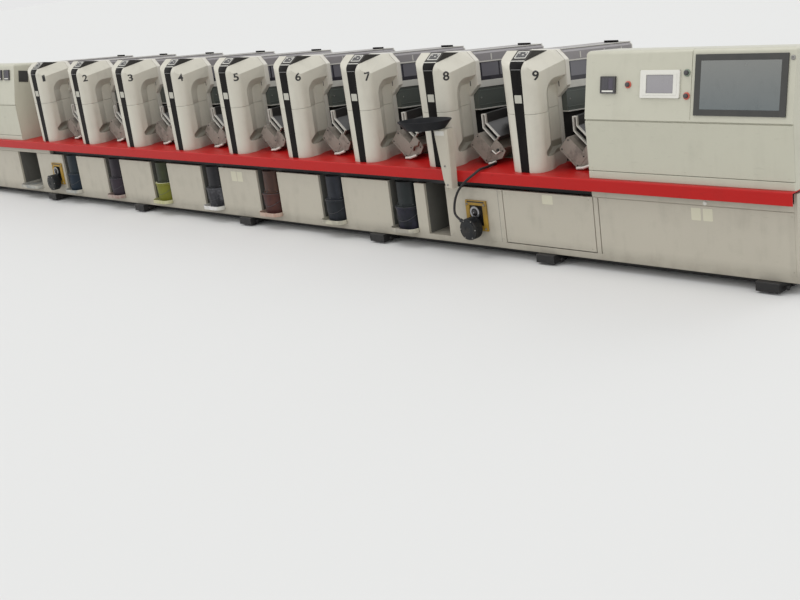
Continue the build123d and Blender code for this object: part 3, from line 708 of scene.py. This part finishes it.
@dataclass(frozen=True)
class Frame:
    """A place with a direction across, one up and one out of the surface."""

    origin: Point
    u: Point = (1.0, 0.0, 0.0)
    v: Point = (0.0, 0.0, 1.0)
    n: Point = (0.0, -1.0, 0.0)

    def at(self, across: float, up: float, out: float = 0.0) -> Vector:
        """Return a point of the frame in the shared frame."""
        return (Vector(self.origin) + across * Vector(self.u) + up * Vector(self.v)
                + out * Vector(self.n))

    def moved(self, across: float, up: float, out: float = 0.0) -> "Frame":
        """Return the frame moved along itself."""
        return replace(self, origin=tuple(self.at(across, up, out)))


def rounded(width: float, height: float, radius: float = 0.0) -> Outline:
    """Return a rectangle with round corners.

    Args:
        width: Its width in metres.
        height: Its height.
        radius: Its corner radius.

    Returns:
        Its outline about its middle.
    """
    points = []
    for corner, (sx, sy) in enumerate(((1, 1), (-1, 1), (-1, -1), (1, -1))):
        for step in range(CORNER_STEPS + 1):
            turn = math.pi / 2 * (corner + step / CORNER_STEPS)
            points.append((sx * (width / 2 - radius) + radius * math.cos(turn),
                           sy * (height / 2 - radius) + radius * math.sin(turn)))
    return points if radius > 0 else points[::CORNER_STEPS + 1]


def circle(radius: float, steps: int = 24) -> Outline:
    """Return a circle's outline with a number of points."""
    turns = [2 * math.pi * step / steps for step in range(steps)]
    return [(radius * math.cos(turn), radius * math.sin(turn)) for turn in turns]


@dataclass
class Piece:
    """One piece of fittings, made of prisms, rings, turned shapes, tubes and bolts."""

    name: str = ""
    edge: float = 0.0005

    def __post_init__(self) -> None:
        """Start with an empty mesh and no finish."""
        self.mesh = bmesh.new()
        self.coats: list[Coat] = []

    def dress(self) -> None:
        """Add the shapes; each sub-assembly has its own."""
        raise NotImplementedError

    def build(self) -> None:
        """Shape the piece, give it its finishes and let it ride the press."""
        self.dress()
        bmesh.ops.recalc_face_normals(self.mesh, faces=self.mesh.faces)
        data = bpy.data.meshes.new(self.name)
        self.mesh.to_mesh(data)
        self.mesh.free()
        data.shade_smooth()
        data.set_sharp_from_angle(angle=EDGE_ANGLE)
        for coat in self.coats:
            data.materials.append(coat.material())
        piece = put(self.name, data)
        if self.edge > 0:
            round_edges(piece, self.edge)
        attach(piece, "press")
        log.info("built %s: %d faces, %d finishes", self.name, len(data.polygons),
                 len(self.coats))

    def _join(self, loops: list, coat: Coat, caps: bool = True) -> None:
        """Join loops of vertices with quads.

        Args:
            loops: Loops of the same length, in order.
            coat: The finish.
            caps: Whether the first and last loops are closed; if not, they are joined.
        """
        if coat not in self.coats:
            self.coats.append(coat)
        faces = [loops[0], loops[-1]] if caps else []
        for first, second in zip(loops, loops[1:] if caps else loops[1:] + loops[:1]):
            faces += [(first[i - 1], first[i], second[i], second[i - 1])
                      for i in range(len(first))]
        for face in faces:
            self.mesh.faces.new(face).material_index = self.coats.index(coat)

    def _loops(self, place: Frame, outlines: list[tuple[Outline, float]]) -> list:
        """Return the vertices of outlines, each at its height over the frame."""
        return [[self.mesh.verts.new(place.at(across, up, out)) for across, up in outline]
                for outline, out in outlines]

    def prism(self, place: Frame, outline: Outline, depth: float, coat: Coat,
              start: float = 0.0) -> None:
        """Extrude an outline by a depth, from a start height over the frame's surface."""
        self._join(self._loops(place, [(outline, start), (outline, start + depth)]), coat)

    def ring(self, place: Frame, outer: Outline, inner: Outline, depth: float,
             coat: Coat) -> None:
        """Extrude the area between two outlines with the same number of points."""
        outlines = [(outer, 0.0), (outer, depth), (inner, depth), (inner, 0.0)]
        self._join(self._loops(place, outlines), coat, caps=False)

    def turned(self, place: Frame, profile: Outline, coat: Coat, steps: int = 24) -> None:
        """Turn a profile of radii and heights about the frame's outward direction."""
        outlines = [(circle(radius, steps), out) for radius, out in profile]
        self._join(self._loops(place, outlines), coat)

    def tube(self, points: list[Vector], radius: float, coat: Coat, steps: int = 8) -> None:
        """Run a round bar through points.

        Args:
            points: The points in the shared frame.
            radius: The bar's radius.
            coat: Its finish.
            steps: Points around.
        """
        side = (points[1] - points[0]).orthogonal()
        loops = []
        for index, spot in enumerate(points):
            run = points[min(index + 1, len(points) - 1)] - points[max(index - 1, 0)]
            side = (side - run * (side.dot(run) / run.length_squared)).normalized()
            other = run.cross(side).normalized()
            loops.append([self.mesh.verts.new(spot + radius * (x * side + y * other))
                          for x, y in circle(1.0, steps)])
        self._join(loops, coat)

    def bolts(self, place: Frame, spots: Spots | list, radius: float, coat: Coat,
              height: float = 0.004) -> None:
        """Set a round screw head with a socket at each spot of the frame.

        Args:
            place: The frame.
            spots: Metres across, up and, where it isn't 0, out.
            radius: The heads' radius.
            coat: Their finish.
            height: The heads' height.
        """
        head = [(radius, -0.001), (radius, height * 0.6), (radius * 0.8, height),
                (radius * 0.45, height), (radius * 0.45, height * 0.4)]
        for spot in spots:
            self.turned(place.moved(*spot), head, coat, 12)

    def plates(self, place: Frame, rows: Rows | list[Row]) -> None:
        """Lay plates: across, up, out, width, height, corner radius, depth and finish."""
        for *spot, width, height, radius, depth, coat in rows:
            self.prism(place.moved(*spot), rounded(width, height, radius), depth, coat)


@dataclass
class UnitNumbers(Piece):
    """The numbers 1 to 9 on the right front corners of the unit covers."""

    name: str = "unit_numbers"
    edge: float = 0.0
    height: float = 0.060
    width: float = 0.043
    narrow: float = 0.62
    weight: float = 0.026
    middle_z: float = 0.604
    turn: float = math.radians(57)
    corner_radius: float = 0.070
    foot_half: float = 0.126
    head_half: float = 0.146
    head_z: float = 0.745
    cell: float = 0.004
    lift: float = 0.0006

    def dress(self) -> None:
        """Lay one digit on each cover, bent to its surface."""
        self.coats.append(Coat.INK_BLACK)
        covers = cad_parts["unit_covers"]
        tree = BVHTree.FromObject(covers, bpy.context.evaluated_depsgraph_get())
        there = covers.matrix_world.copy()
        back = there.inverted()
        for index, unit_x in enumerate(UNIT_X):
            digit = self._digit(str(index + 1))
            for vertex in digit.verts:
                start, aim = self._ray(unit_x, vertex.co)
                spot, normal, _, _ = tree.ray_cast(back @ start, back.to_3x3() @ aim)
                vertex.co = start if spot is None else there @ (spot + normal * self.lift)
            data = bpy.data.meshes.new("digit")
            digit.to_mesh(data)
            digit.free()
            self.mesh.from_mesh(data)

    def _digit(self, text: str) -> bmesh.types.BMesh:
        """Return a flat digit cut into small cells.

        Args:
            text: The digit.

        Returns:
            Its mesh, centred, at its real size.
        """
        curve = bpy.data.curves.new("digit", "FONT")
        curve.body = text
        curve.offset = self.weight
        curve.resolution_u = 8
        holder = put("digit_text", curve)
        bpy.context.view_layer.update()
        flat = bpy.data.meshes.new_from_object(
            holder.evaluated_get(bpy.context.evaluated_depsgraph_get()))
        bpy.data.objects.remove(holder)
        digit = bmesh.new()
        digit.from_mesh(flat)
        wide = self.width * (self.narrow if text == "1" else 1.0)
        for axis, size in ((0, wide), (1, self.height)):
            places = [vertex.co[axis] for vertex in digit.verts]
            low, high = min(places), max(places)
            for vertex in digit.verts:
                vertex.co[axis] = ((vertex.co[axis] - low) / (high - low) - 0.5) * size
        for axis, size in ((0, self.width), (1, self.height)):
            for step in range(1, int(size / self.cell)):
                at = step * self.cell - size / 2
                bmesh.ops.bisect_plane(
                    digit, geom=digit.verts[:] + digit.edges[:] + digit.faces[:],
                    plane_co=[at * (1 - axis), at * axis, 0], plane_no=[1 - axis, axis, 0])
        return digit

    def _ray(self, unit_x: float, spot: Vector) -> tuple[Vector, Vector]:
        """Return the ray that meets a cover at a digit's point.

        Args:
            unit_x: The unit's place.
            spot: The point on the flat digit.

        Returns:
            The ray's start and direction in the shared frame.
        """
        high = self.middle_z + spot.y
        half = self.foot_half + (self.head_half - self.foot_half) * high / self.head_z
        turn = self.turn + spot.x / self.corner_radius
        out = Vector((math.sin(turn), -math.cos(turn), 0.0))
        axis = Vector((unit_x + half - self.corner_radius, FACE_Y + self.corner_radius,
                       SHELF_Z + high))
        return axis + out * 3 * self.corner_radius, -out


@dataclass
class HeadTrims(Piece):
    """What each head carries: its trim lines, key panel, blank label and rim slot."""

    name: str = "head_trims"
    lines: Rows = ((0.055, 0.0032, 0.6925, -0.0295, Coat.WHITE),
                   (0.040, 0.0024, 0.6440, -0.0004, Coat.KEYPAD))
    label: Row = (0.0, 0.463, 0.0, 0.056, 0.050, 0.004, 0.0010, Coat.LABEL)
    rim_slot: Row = (0.083, 0.504, -0.305, 0.007, 0.034, 0.003, 0.0008, Coat.INK_BLACK)
    brow_foot: Point = (0.0, 0.691, -0.030)
    brow_run: Point = (0.0, 0.080, 0.054)
    panel_up: float = 0.056
    panel_size: Pair = (0.090, 0.062)
    panel_edge: float = 0.010
    panel_radii: Pair = (0.006, 0.004)
    panel_depths: Pair = (0.0024, 0.0010)
    key_depth: float = 0.0030
    key_size: Point = (0.012, 0.009, 0.002)
    key_steps: Pair = (0.018, 0.015)
    light_keys: tuple[tuple[float, int], ...] = ((0.5, 0), (-1.5, 1), (1.5, 1))

    def dress(self) -> None:
        """Dress the nine heads."""
        up = Vector(self.brow_run).normalized()
        for unit_x in UNIT_X:
            face = Frame((unit_x, FACE_Y, SHELF_Z))
            for half, radius, high, out, coat in self.lines:
                self.tube([face.at(-half, high, out), face.at(half, high, out)], radius, coat)
            self.plates(face, (self.label,))
            brow = Frame(tuple(face.at(*self.brow_foot)), v=tuple(up), n=(0.0, -up.z, up.y))
            self._keys(brow.moved(0, self.panel_up))
            self.plates(face, (self.rim_slot,))

    def _keys(self, plate: Frame) -> None:
        """Add one key panel on the raised brow.

        Args:
            plate: The frame at its middle.
        """
        outer = rounded(*self.panel_size, self.panel_radii[0])
        inner = rounded(*[size - self.panel_edge for size in self.panel_size],
                        self.panel_radii[1])
        self.ring(plate, outer, inner, self.panel_depths[0], Coat.WHITE)
        self.prism(plate, inner, self.panel_depths[1], Coat.KEYPAD)
        for row in (-1, 0, 1):
            for column in (-1.5, -0.5, 0.5, 1.5):
                coat = Coat.KEY_LIGHT if (column, row) in self.light_keys else Coat.CONTROL
                key = plate.moved(column * self.key_steps[0], row * self.key_steps[1])
                self.prism(key, rounded(*self.key_size), self.key_depth, coat)


@dataclass
class HoodDetails(Piece):
    """Top trims, end bands, side joints, window bars and housing lines of the hoods."""

    name: str = "hood_details"
    half: float = 0.110
    front: float = 0.345
    run: float = 0.725
    slope: float = 0.095
    inset: float = 0.006
    chamfer: float = 0.020
    bottom: float = 0.643
    top: float = 0.714
    joints: tuple[float, ...] = (0.165, 0.415, 0.600)
    joint_z: float = 0.668
    window_bars: tuple[float, ...] = (0.055, 0.240, 0.480)
    window_z: float = 0.579
    window_foot: float = 0.528
    housing_lines: tuple[float, ...] = (0.448, 0.352)
    trim_width: float = 0.005
    trim_depth: float = 0.010
    trim_sunk: float = 0.002
    band_out: float = 0.0015
    bolt_spots: Spots = ((0.030, 0.400), (0.350, 0.400), (0.680, 0.400))

    def dress(self) -> None:
        """Dress the nine hoods."""
        for unit_x in UNIT_X:
            for side in (-1.0, 1.0):
                self._side(unit_x, side)
            self._band(unit_x)

    def _side(self, unit_x: float, side: float) -> None:
        """Dress one side of a hood.

        Args:
            unit_x: The unit's place.
            side: 1 for the right side and -1 for the left.
        """
        wall = Frame((unit_x + side * self.half, FACE_Y + self.front, SHELF_Z),
                     (0.0, 1.0, -self.slope), n=(side, 0.0, 0.0))
        middle = self.run / 2
        self.prism(wall.moved(middle, self.top, -self.chamfer),
                   rounded(self.run, self.trim_width), self.trim_depth, Coat.BAR, -self.trim_sunk)
        self.plates(wall, [(joint, self.joint_z, 0.0, 0.010, 0.040, 0.0, 0.0015, Coat.BAR)
                           for joint in self.joints])
        glass = wall.moved(0, 0, -self.inset)
        foot, pane = self.run - 0.012, self.run - 0.016
        self.plates(glass, [
            (middle, self.window_foot, 0.0, foot, 0.026, 0.0, 0.0020, Coat.WINDOW_LOW),
            *[(bar, self.window_z, 0.0, 0.012, 0.108, 0.0, 0.0030, Coat.WINDOW_LOW)
              for bar in self.window_bars],
            *[(middle, high, 0.0, pane, 0.004, 0.0, 0.0030, Coat.HOUSING_LINE)
              for high in self.housing_lines]])
        self.bolts(glass, self.bolt_spots, 0.006, Coat.STEEL)

    def _band(self, unit_x: float) -> None:
        """Add the band around a hood's far end.

        Args:
            unit_x: The unit's place.
        """
        end = Frame((unit_x, FACE_Y + self.front + self.run - self.trim_depth - self.trim_sunk,
                     SHELF_Z - self.slope * self.run), n=(0.0, 1.0, 0.0))
        half, low = self.half + self.band_out, self.bottom - self.band_out
        top = self.top + 2 * self.band_out
        outline = [(-half, low), (half, low), (half, top - self.chamfer),
                   (half - self.chamfer, top), (self.chamfer - half, top),
                   (-half, top - self.chamfer)]
        self.prism(end, outline, self.trim_depth, Coat.BAR)


@dataclass
class InkWorks(Piece):
    """Fittings of the troughs and channels: rails, bolts, side plates, levers and spouts."""

    name: str = "ink_works"
    edge: float = 0.0004
    turn: float = math.radians(42)
    middle: Pair = (0.267, 0.105)
    front: float = 0.150
    channel_front: float = 0.190
    near: float = 0.089
    far: float = 0.133
    top_end: float = -0.092
    low_end: float = 0.040
    lip: float = 0.060
    bolt_spots: Spots = ((-0.074, 0.040), (-0.074, -0.040), (0.074, 0.040), (0.074, -0.040))
    wing: Spots = (
        (0.084, -0.050), (0.164, 0.066), (0.156, 0.122), (0.104, 0.134), (0.048, 0.130),
        (0.048, 0.050), (0.084, 0.050))
    wing_bolt: Pair = (0.138, 0.108)
    spout: Spots = ((0.296, 0.012, 0.010), (0.352, 0.018, 0.014), (0.398, 0.034, 0.004))
    hose_spout: Spots = ((0.320, 0.006, 0.004), (0.352, 0.012, 0.006), (0.378, 0.022, 0.004))
    levers: Rows = (
        (HOSE_UNIT, 0.0050, Coat.WHITE,
         ((0.356, 0.094, 0.002), (0.392, 0.074, 0.009), (0.428, 0.094, 0.009))),
        (HOSE_UNIT - 1, 0.0065, Coat.BROWN,
         ((0.372, 0.066, 0.000), (0.398, 0.096, 0.012), (0.436, 0.104, 0.014),
          (0.452, 0.136, 0.014))))
    lever_bolt: Pair = (0.404, 0.098)
    rail_radius: float = 0.0026
    rod: Spots = ((-0.080, -0.044), (0.080, -0.044))
    rod_radius: float = 0.0030
    proud: float = 0.001
    wing_inset: float = 0.008
    wing_depth: float = 0.006
    bolt_radius: float = 0.005
    spout_radius: float = 0.009

    def tilted(self, along: float, across: float) -> Pair:
        """Return the x and z of a point along the turned trough, downhill, and across it."""
        cos, sin = math.cos(self.turn), math.sin(self.turn)
        return (self.middle[0] + along * cos + across * sin,
                self.middle[1] - along * sin + across * cos)

    def dress(self) -> None:
        """Dress the nine troughs."""
        top = self.tilted(self.top_end, self.far)[1] + self.lip
        for index, unit_x in enumerate(UNIT_X):
            rail = Frame((unit_x, FACE_Y + self.channel_front, SHELF_Z))
            for across in (self.near, self.far):
                lip = self.tilted(self.top_end, across)
                path = [(lip[0], top), lip, self.tilted(self.low_end, across)]
                self.tube([rail.at(x, z, self.proud) for x, z in path], self.rail_radius,
                          Coat.WHITE)
            plate = Frame((unit_x, FACE_Y + self.front, SHELF_Z))
            self.bolts(plate, [self.tilted(*spot) for spot in self.bolt_spots],
                       self.bolt_radius, Coat.INK_BLACK)
            self.tube([plate.at(*self.tilted(*spot), self.proud) for spot in self.rod],
                      self.rod_radius, Coat.TROUGH)
            wing = plate.moved(0, 0, -self.wing_inset)
            self.prism(wing, [self.tilted(*spot) for spot in self.wing], self.wing_depth,
                       Coat.TROUGH)
            self.bolts(wing, [(*self.tilted(*self.wing_bolt), self.wing_depth)],
                       self.bolt_radius, Coat.INK_BLACK)
            spout = self.hose_spout if index == HOSE_UNIT else self.spout
            self.tube([plate.at(*spot) for spot in spout], self.spout_radius, Coat.WHITE, 12)
        for unit, radius, coat, path in self.levers:
            plate = Frame((UNIT_X[unit], FACE_Y + self.front, SHELF_Z))
            self.tube([plate.at(*spot) for spot in path], radius, coat)
            if unit == HOSE_UNIT:
                self.bolts(plate, [self.lever_bolt], 0.011, Coat.INK_BLACK, 0.008)


@dataclass
class PailFittings(Piece):
    """Rims, lugs, wire handles and lid bolts of the seven ink pails."""

    name: str = "pail_fittings"
    face_inset: float = 0.075
    radius: float = 0.110
    top_z: float = 0.282
    rim: Spots = ((-0.006, -0.013), (0.0012, -0.013), (0.0026, -0.008), (0.0012, 0.0012),
                  (-0.006, 0.0012))
    pale_rim: int = 2
    bolt_circle: float = 0.093
    bolt_out: float = 0.014
    bolt_turns: tuple[int, ...] = (35, 90, 145, 215, 270, 325)
    handle_top: float = -0.014
    handle_drop: float = 0.085
    handle_gap: float = 0.004
    handle_shrink: float = 0.05
    wire_radius: float = 0.0015
    lug_radius: float = 0.008
    handle_steps: int = 12

    def dress(self) -> None:
        """Dress the seven pails."""
        turns = [math.radians(turn) for turn in self.bolt_turns]
        spots = [(self.bolt_circle * math.cos(turn), self.bolt_circle * math.sin(turn),
                  self.bolt_out) for turn in turns]
        for index, pail_x in enumerate(PAIL_X):
            middle = Frame((pail_x, FACE_Y + self.face_inset, self.top_z), v=(0.0, 1.0, 0.0),
                           n=(0.0, 0.0, 1.0))
            self.turned(middle, [(self.radius + grow, out) for grow, out in self.rim],
                        Coat.PAIL_RIM_LIGHT if index == self.pale_rim else Coat.PAIL_RIM, 40)
            self._handle(middle)
            self.bolts(middle, spots, 0.005, Coat.PAIL_RIM, 0.005)

    def _handle(self, middle: Frame) -> None:
        """Hang one wire handle in front of its pail.

        Args:
            middle: The frame at the middle of the pail's rim.
        """
        points = []
        for step in range(self.handle_steps + 1):
            turn = math.pi * step / self.handle_steps
            reach = (self.radius + self.handle_gap) * (1 - self.handle_shrink * math.sin(turn))
            points.append(middle.at(-reach * math.cos(turn), -reach * math.sin(turn),
                                    self.handle_top - self.handle_drop * math.sin(turn)))
        self.tube(points, self.wire_radius, Coat.PAIL_RIM, 6)
        for spot in (points[0], points[-1]):
            side = math.copysign(1.0, spot.x - middle.origin[0])
            lug = Frame(tuple(spot), (0.0, 1.0, 0.0), n=(side, 0.0, 0.0))
            self.prism(lug, circle(self.lug_radius, 12), 0.006, Coat.PAIL_RIM, -self.handle_gap)


@dataclass
class SidePumpDetails(Piece):
    """Slotted plates, ribbed drums with their covers, and heads of the two side pumps."""

    name: str = "side_pump_details"
    edge: float = 0.0004
    middles: tuple[float, ...] = (-2.935, 2.519)
    seat: Rows = ((0.0, 0.366, 0.012, 0.150, 0.009, 0.003, 0.0008, Coat.INK_BLACK),
                  (0.0, 0.274, 0.0, 0.112, 0.136, 0.0, 0.004, Coat.INK_BLACK))
    corners: Spots = tuple((x, z, 0.012) for x in (-0.074, 0.074) for z in (0.188, 0.350))
    drum_spot: Pair = (-0.012, 0.199)
    drum_radius: float = 0.071
    drum_back: float = 0.030
    drum_front: float = 0.096
    ribs: int = 6
    cover: Spots = ((0.058, -0.002), (0.058, 0.003), (0.040, 0.005), (0.022, 0.005),
                    (0.020, 0.002), (0.006, 0.002))
    head_spot: Point = (0.0, 0.300, 0.024)
    boss: Spots = ((0.020, -0.001), (0.020, 0.006), (0.016, 0.011), (0.008, 0.013),
                   (0.003, 0.0135))

    def dress(self) -> None:
        """Dress both pumps."""
        for middle in self.middles:
            face = Frame((middle, FACE_Y, 0.0))
            self.plates(face, self.seat)
            self.bolts(face, self.corners, 0.007, Coat.STEEL, 0.006)
            self._drum(face.moved(*self.drum_spot))
            head = face.moved(*self.head_spot)
            self.ring(head, circle(0.040, 32), circle(0.027, 32), 0.004, Coat.CHROME)
            self.turned(head, self.boss, Coat.INK_BLACK)
            self.bolts(head, [(0.0, 0.0, 0.0130)], 0.005, Coat.CHROME, 0.003)

    def _drum(self, axis: Frame) -> None:
        """Add the ribs and the front cover of a drum.

        Args:
            axis: The frame at the drum's axis.
        """
        step = (self.drum_front - self.drum_back - 0.012) / self.ribs
        low, high = self.drum_radius - 0.004, self.drum_radius + 0.0030
        for rib in range(self.ribs):
            out = self.drum_back + 0.006 + step * rib
            self.turned(axis, [(low, out), (high, out), (high, out + step * 0.5),
                               (low, out + step * 0.5)], Coat.PUMP, 40)
        front = axis.moved(0, 0, self.drum_front)
        self.turned(front, self.cover, Coat.PUMP, 32)
        self.bolts(front, circle(0.064, 6), 0.0045, Coat.STEEL)


@dataclass
class ConsoleFittings(Piece):
    """Screen glass and case, button lamps, meters, locks and knee screws of the consoles."""

    name: str = "console_fittings"
    edge: float = 0.0004
    lean: float = math.radians(11.5)
    front: float = 0.020
    knee: float = 0.355
    side: float = 3.481
    end: float = 4.811
    glass: Row = (1.015, 0.198, 0.006, 0.4775, 0.2615, 0.0, 0.0012, Coat.GLASS)
    small_screen: Pair = (0.516, 0.203)
    small_glass: Row = (0.0, 0.0, 0.006, 0.1745, 0.0995, 0.0, 0.0012, Coat.GLASS_PALE)
    case_rings: Rows = (
        (0.008, (0.258, 0.154, 0.006), (0.176, 0.101, 0.002), 0.0016),
        (0.008, (0.224, 0.122, 0.004), (0.180, 0.105, 0.002), 0.0030),
        (0.000, (0.2595, 0.1555, 0.007), (0.254, 0.150, 0.004), 0.008))
    lamps: Rows = ((0.301, 0.200, Coat.LAMP_RED), (0.687, 0.264, Coat.LAMP_GREEN),
                   (0.690, 0.139, Coat.LAMP_RED))
    collar: Spots = ((0.0205, 0.000), (0.0205, 0.0052), (0.0180, 0.0070), (0.0135, 0.0070),
                     (0.0135, 0.0040))
    cap: Spots = ((0.0133, 0.0040), (0.0133, 0.0155), (0.0115, 0.0175), (0.0050, 0.0182))
    meters: Spots = ((1, 0.165, 0.198), (-1, -0.137, 0.288), (-1, -0.290, 0.288))
    meter_out: float = 0.012
    meter_ring: Rows = ((0.104, 0.098, 0.004), (0.092, 0.086, 0.003))
    meter_depth: float = 0.0020
    meter: Rows = (
        (-0.018, 0.006, 0.0, 0.042, 0.064, 0.002, 0.0010, Coat.WINDOW_LOW),
        (0.022, 0.006, 0.0, 0.030, 0.064, 0.002, 0.0012, Coat.METER_VIOLET),
        (0.0, -0.036, 0.0, 0.078, 0.009, 0.001, 0.0014, Coat.WHITE))
    lock_spot: Pair = (1.312, 0.338)
    lock: Spots = ((0.013, -0.001), (0.013, 0.003), (0.010, 0.005), (0.007, 0.005),
                   (0.007, 0.002))
    keyway: Row = (0.0, 0.0, 0.0015, 0.002, 0.009, 0.0, 0.001, Coat.INK_BLACK)
    screw_rows: Pair = (0.066, 0.328)
    screw_inset: float = 0.030

    def plane(self, hand: int) -> Frame:
        """Return the leaning control plane of the right (1) or left (-1) console."""
        sin, cos = math.sin(self.lean), math.cos(self.lean)
        return Frame((hand * self.side, FACE_Y - self.front, SHELF_Z + self.knee),
                     v=(0.0, sin, cos), n=(0.0, -cos, sin))

    def dress(self) -> None:
        """Dress both consoles."""
        panels = {hand: self.plane(hand) for hand in (1, -1)}
        for hand, panel in panels.items():
            self.plates(panel, ((hand * self.glass[0], *self.glass[1:]),))
        screen = panels[1].moved(*self.small_screen)
        for out, outer, inner, depth in self.case_rings:
            self.ring(screen.moved(0, 0, out), rounded(*outer), rounded(*inner), depth,
                      Coat.WHITE)
        self.plates(screen, (self.small_glass,))
        for across, up, coat in self.lamps:
            button = panels[1].moved(across, up)
            self.turned(button, self.collar, coat, 28)
            self.turned(button, self.cap, Coat.CONTROL)
        outer, inner = [rounded(*size) for size in self.meter_ring]
        for hand, across, up in self.meters:
            face = panels[hand].moved(across, up, self.meter_out)
            self.ring(face, outer, inner, self.meter_depth, Coat.CONTROL)
            self.plates(face, self.meter)
        for hand, panel in panels.items():
            lock = panel.moved(hand * self.lock_spot[0], self.lock_spot[1])
            self.turned(lock, self.lock, Coat.STEEL)
            self.plates(lock, (self.keyway,))
        face = Frame((0.0, FACE_Y - self.front, SHELF_Z))
        columns = (self.side + self.screw_inset, (self.side + self.end) / 2,
                   self.end - self.screw_inset)
        self.bolts(face, [(hand * column, row) for hand in panels for column in columns
                          for row in self.screw_rows], 0.0035, Coat.CONSOLE, 0.0015)


@dataclass
class CabinetFittings(Piece):
    """Blank stickers, a panel joint, the door's knob and the panel screws of the cabinet."""

    name: str = "cabinet_fittings"
    edge: float = 0.0003
    panel_bottom: float = 0.107
    panel_top: float = 0.459
    panels: Spots = (
        (-3.299, -2.809), *((unit_x + 0.482, unit_x + 0.972) for unit_x in UNIT_X[:6]),
        (2.262, 2.745), (2.767, 3.460), (3.500, 4.795), (-4.795, -3.700))
    joint: Row = (2.712, 0.283, 0.0, 0.0026, 0.348, 0.0, 0.0003, Coat.KEYPAD)
    stickers: Spots = (
        (3.122, 0.419, 0.084, 0.058), (4.190, 0.409, 0.062, 0.072), (4.266, 0.409, 0.062, 0.072),
        (-0.104, 0.396, 0.068, 0.080), (-0.027, 0.396, 0.068, 0.080))
    screw_inset: Pair = (0.018, 0.022)
    knob_spot: Pair = (4.252, 0.477)
    knob: Spots = ((0.013, -0.001), (0.013, 0.003), (0.009, 0.005))

    def dress(self) -> None:
        """Dress the cabinet's front."""
        face = Frame((0.0, FACE_Y, 0.0))
        self.plates(face, [(x, z, 0.0, width, height, 0.006, 0.0006, Coat.STICKER)
                           for x, z, width, height in self.stickers])
        self.plates(face, (self.joint,))
        self.turned(face.moved(*self.knob_spot), self.knob, Coat.WHITE)
        in_x, in_z = self.screw_inset
        self.bolts(face, [(x, z) for left, right in self.panels for x in (left + in_x, right - in_x)
                          for z in (self.panel_bottom + in_z, self.panel_top - in_z)],
                   0.0040, Coat.CABINET, 0.0020)


@dataclass
class PostFittings(Piece):
    """Clamp plate and screws of the tool dish's post, and the dish's rim."""

    name: str = "post_fittings"
    post_x: float = 2.219
    post_front: float = 0.118
    screws: Spots = ((0.170, 0.625), (0.176, 0.500))
    clamp: Row = (0.155, 0.842, 0.0, 0.080, 0.030, 0.004, 0.003, Coat.BAR)
    dish_turn: float = math.radians(22)
    dish_half: Pair = (0.190, 0.105)
    dish_front: float = 0.250
    dish_x: float = 0.042
    dish_z: float = 0.926
    rim_half: Pair = (0.1880, 0.1025)
    rim_steps: int = 48

    def dress(self) -> None:
        """Dress the post and the dish."""
        front = Frame((self.post_x, FACE_Y - self.post_front, 0.0))
        self.bolts(front, self.screws, 0.007, Coat.STEEL, 0.005)
        self.plates(front, (self.clamp,))
        sin, cos = math.sin(self.dish_turn), math.cos(self.dish_turn)
        reach = math.hypot(self.dish_half[0] * sin, self.dish_half[1] * cos)
        middle = Frame((self.post_x + self.dish_x, FACE_Y - self.dish_front + reach, self.dish_z),
                       (cos, sin, 0.0), (-sin, cos, 0.0), (0.0, 0.0, 1.0))
        turns = [2 * math.pi * step / self.rim_steps for step in range(self.rim_steps + 1)]
        self.tube([middle.at(self.rim_half[0] * math.cos(turn), self.rim_half[1] * math.sin(turn))
                   for turn in turns], 0.0022, Coat.DISH)


@dataclass
class BackFittings(Piece):
    """Door plates, louvres and screws of the closed drive side."""

    name: str = "back_fittings"
    edge: float = 0.0004
    middle: float = 0.160
    back_y: float = 0.725
    door_z: float = 0.8655
    door_size: Pair = (0.540, 0.505)
    door_screws: Pair = (0.254, 0.2365)
    plate: float = 0.0005
    low_z: float = 0.300
    louvre_step: float = 0.022

    def dress(self) -> None:
        """Dress the back of the press."""
        for unit_x in UNIT_X:
            low = Frame((unit_x + self.middle, self.back_y, self.low_z), (-1.0, 0.0, 0.0),
                        n=(0.0, 1.0, 0.0))
            door = low.moved(0, self.door_z - self.low_z)
            self.prism(door, rounded(*self.door_size, 0.012), self.plate, Coat.CABINET)
            screws = [(across * self.door_screws[0], up * self.door_screws[1], self.plate)
                      for across in (-1, 1) for up in (-1, 0, 1)]
            self.bolts(door, screws, 0.006, Coat.STEEL, 0.0006)
            self._louvres(door.moved(0, self.door_size[1] * 0.24, self.plate), 0.240, 6)
            self._louvres(low, 0.220, 5)

    def _louvres(self, middle: Frame, width: float, count: int) -> None:
        """Add a group of pressed louvres.

        Args:
            middle: The frame at the group's middle.
            width: Each louvre's width.
            count: Their number.
        """
        for step in range(count):
            up = (step - (count - 1) / 2) * self.louvre_step
            self.plates(middle, (
                (0.0, up - 0.0065, 0.0, width - 0.010, 0.005, 0.002, 0.0003, Coat.INK_BLACK),
                (0.0, up, 0.0, width, 0.009, 0.0035, 0.0006, Coat.CABINET)))


def dress_nodes() -> None:
    """Give every carried-over node its finish and a small edge round."""
    for name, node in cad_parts.items():
        if name == "ink_hose":
            continue
        coat = Coat.ROLLER if name.startswith("ink_roller") else NODE_COATS[name]
        node.data.materials.clear()
        node.data.materials.append(coat.material())
        round_edges(node, EDGE_WIDTHS.get(coat, EDGE_WIDTH), weld=True)
        log.info("dressed %s in %s", name, coat.name)


def main() -> None:
    """Build the whole picture, part by part."""
    logging.basicConfig(level=logging.INFO)
    bpy.context.scene.view_settings.view_transform = "Standard"
    for part in (InkHose, PhotoCamera, Studio):
        part().build()
    dress_nodes()
    for part in (UnitNumbers, HeadTrims, HoodDetails, InkWorks, PailFittings, SidePumpDetails,
                 ConsoleFittings, CabinetFittings, PostFittings, BackFittings):
        part().build()


if __name__ == "__main__":
    main()
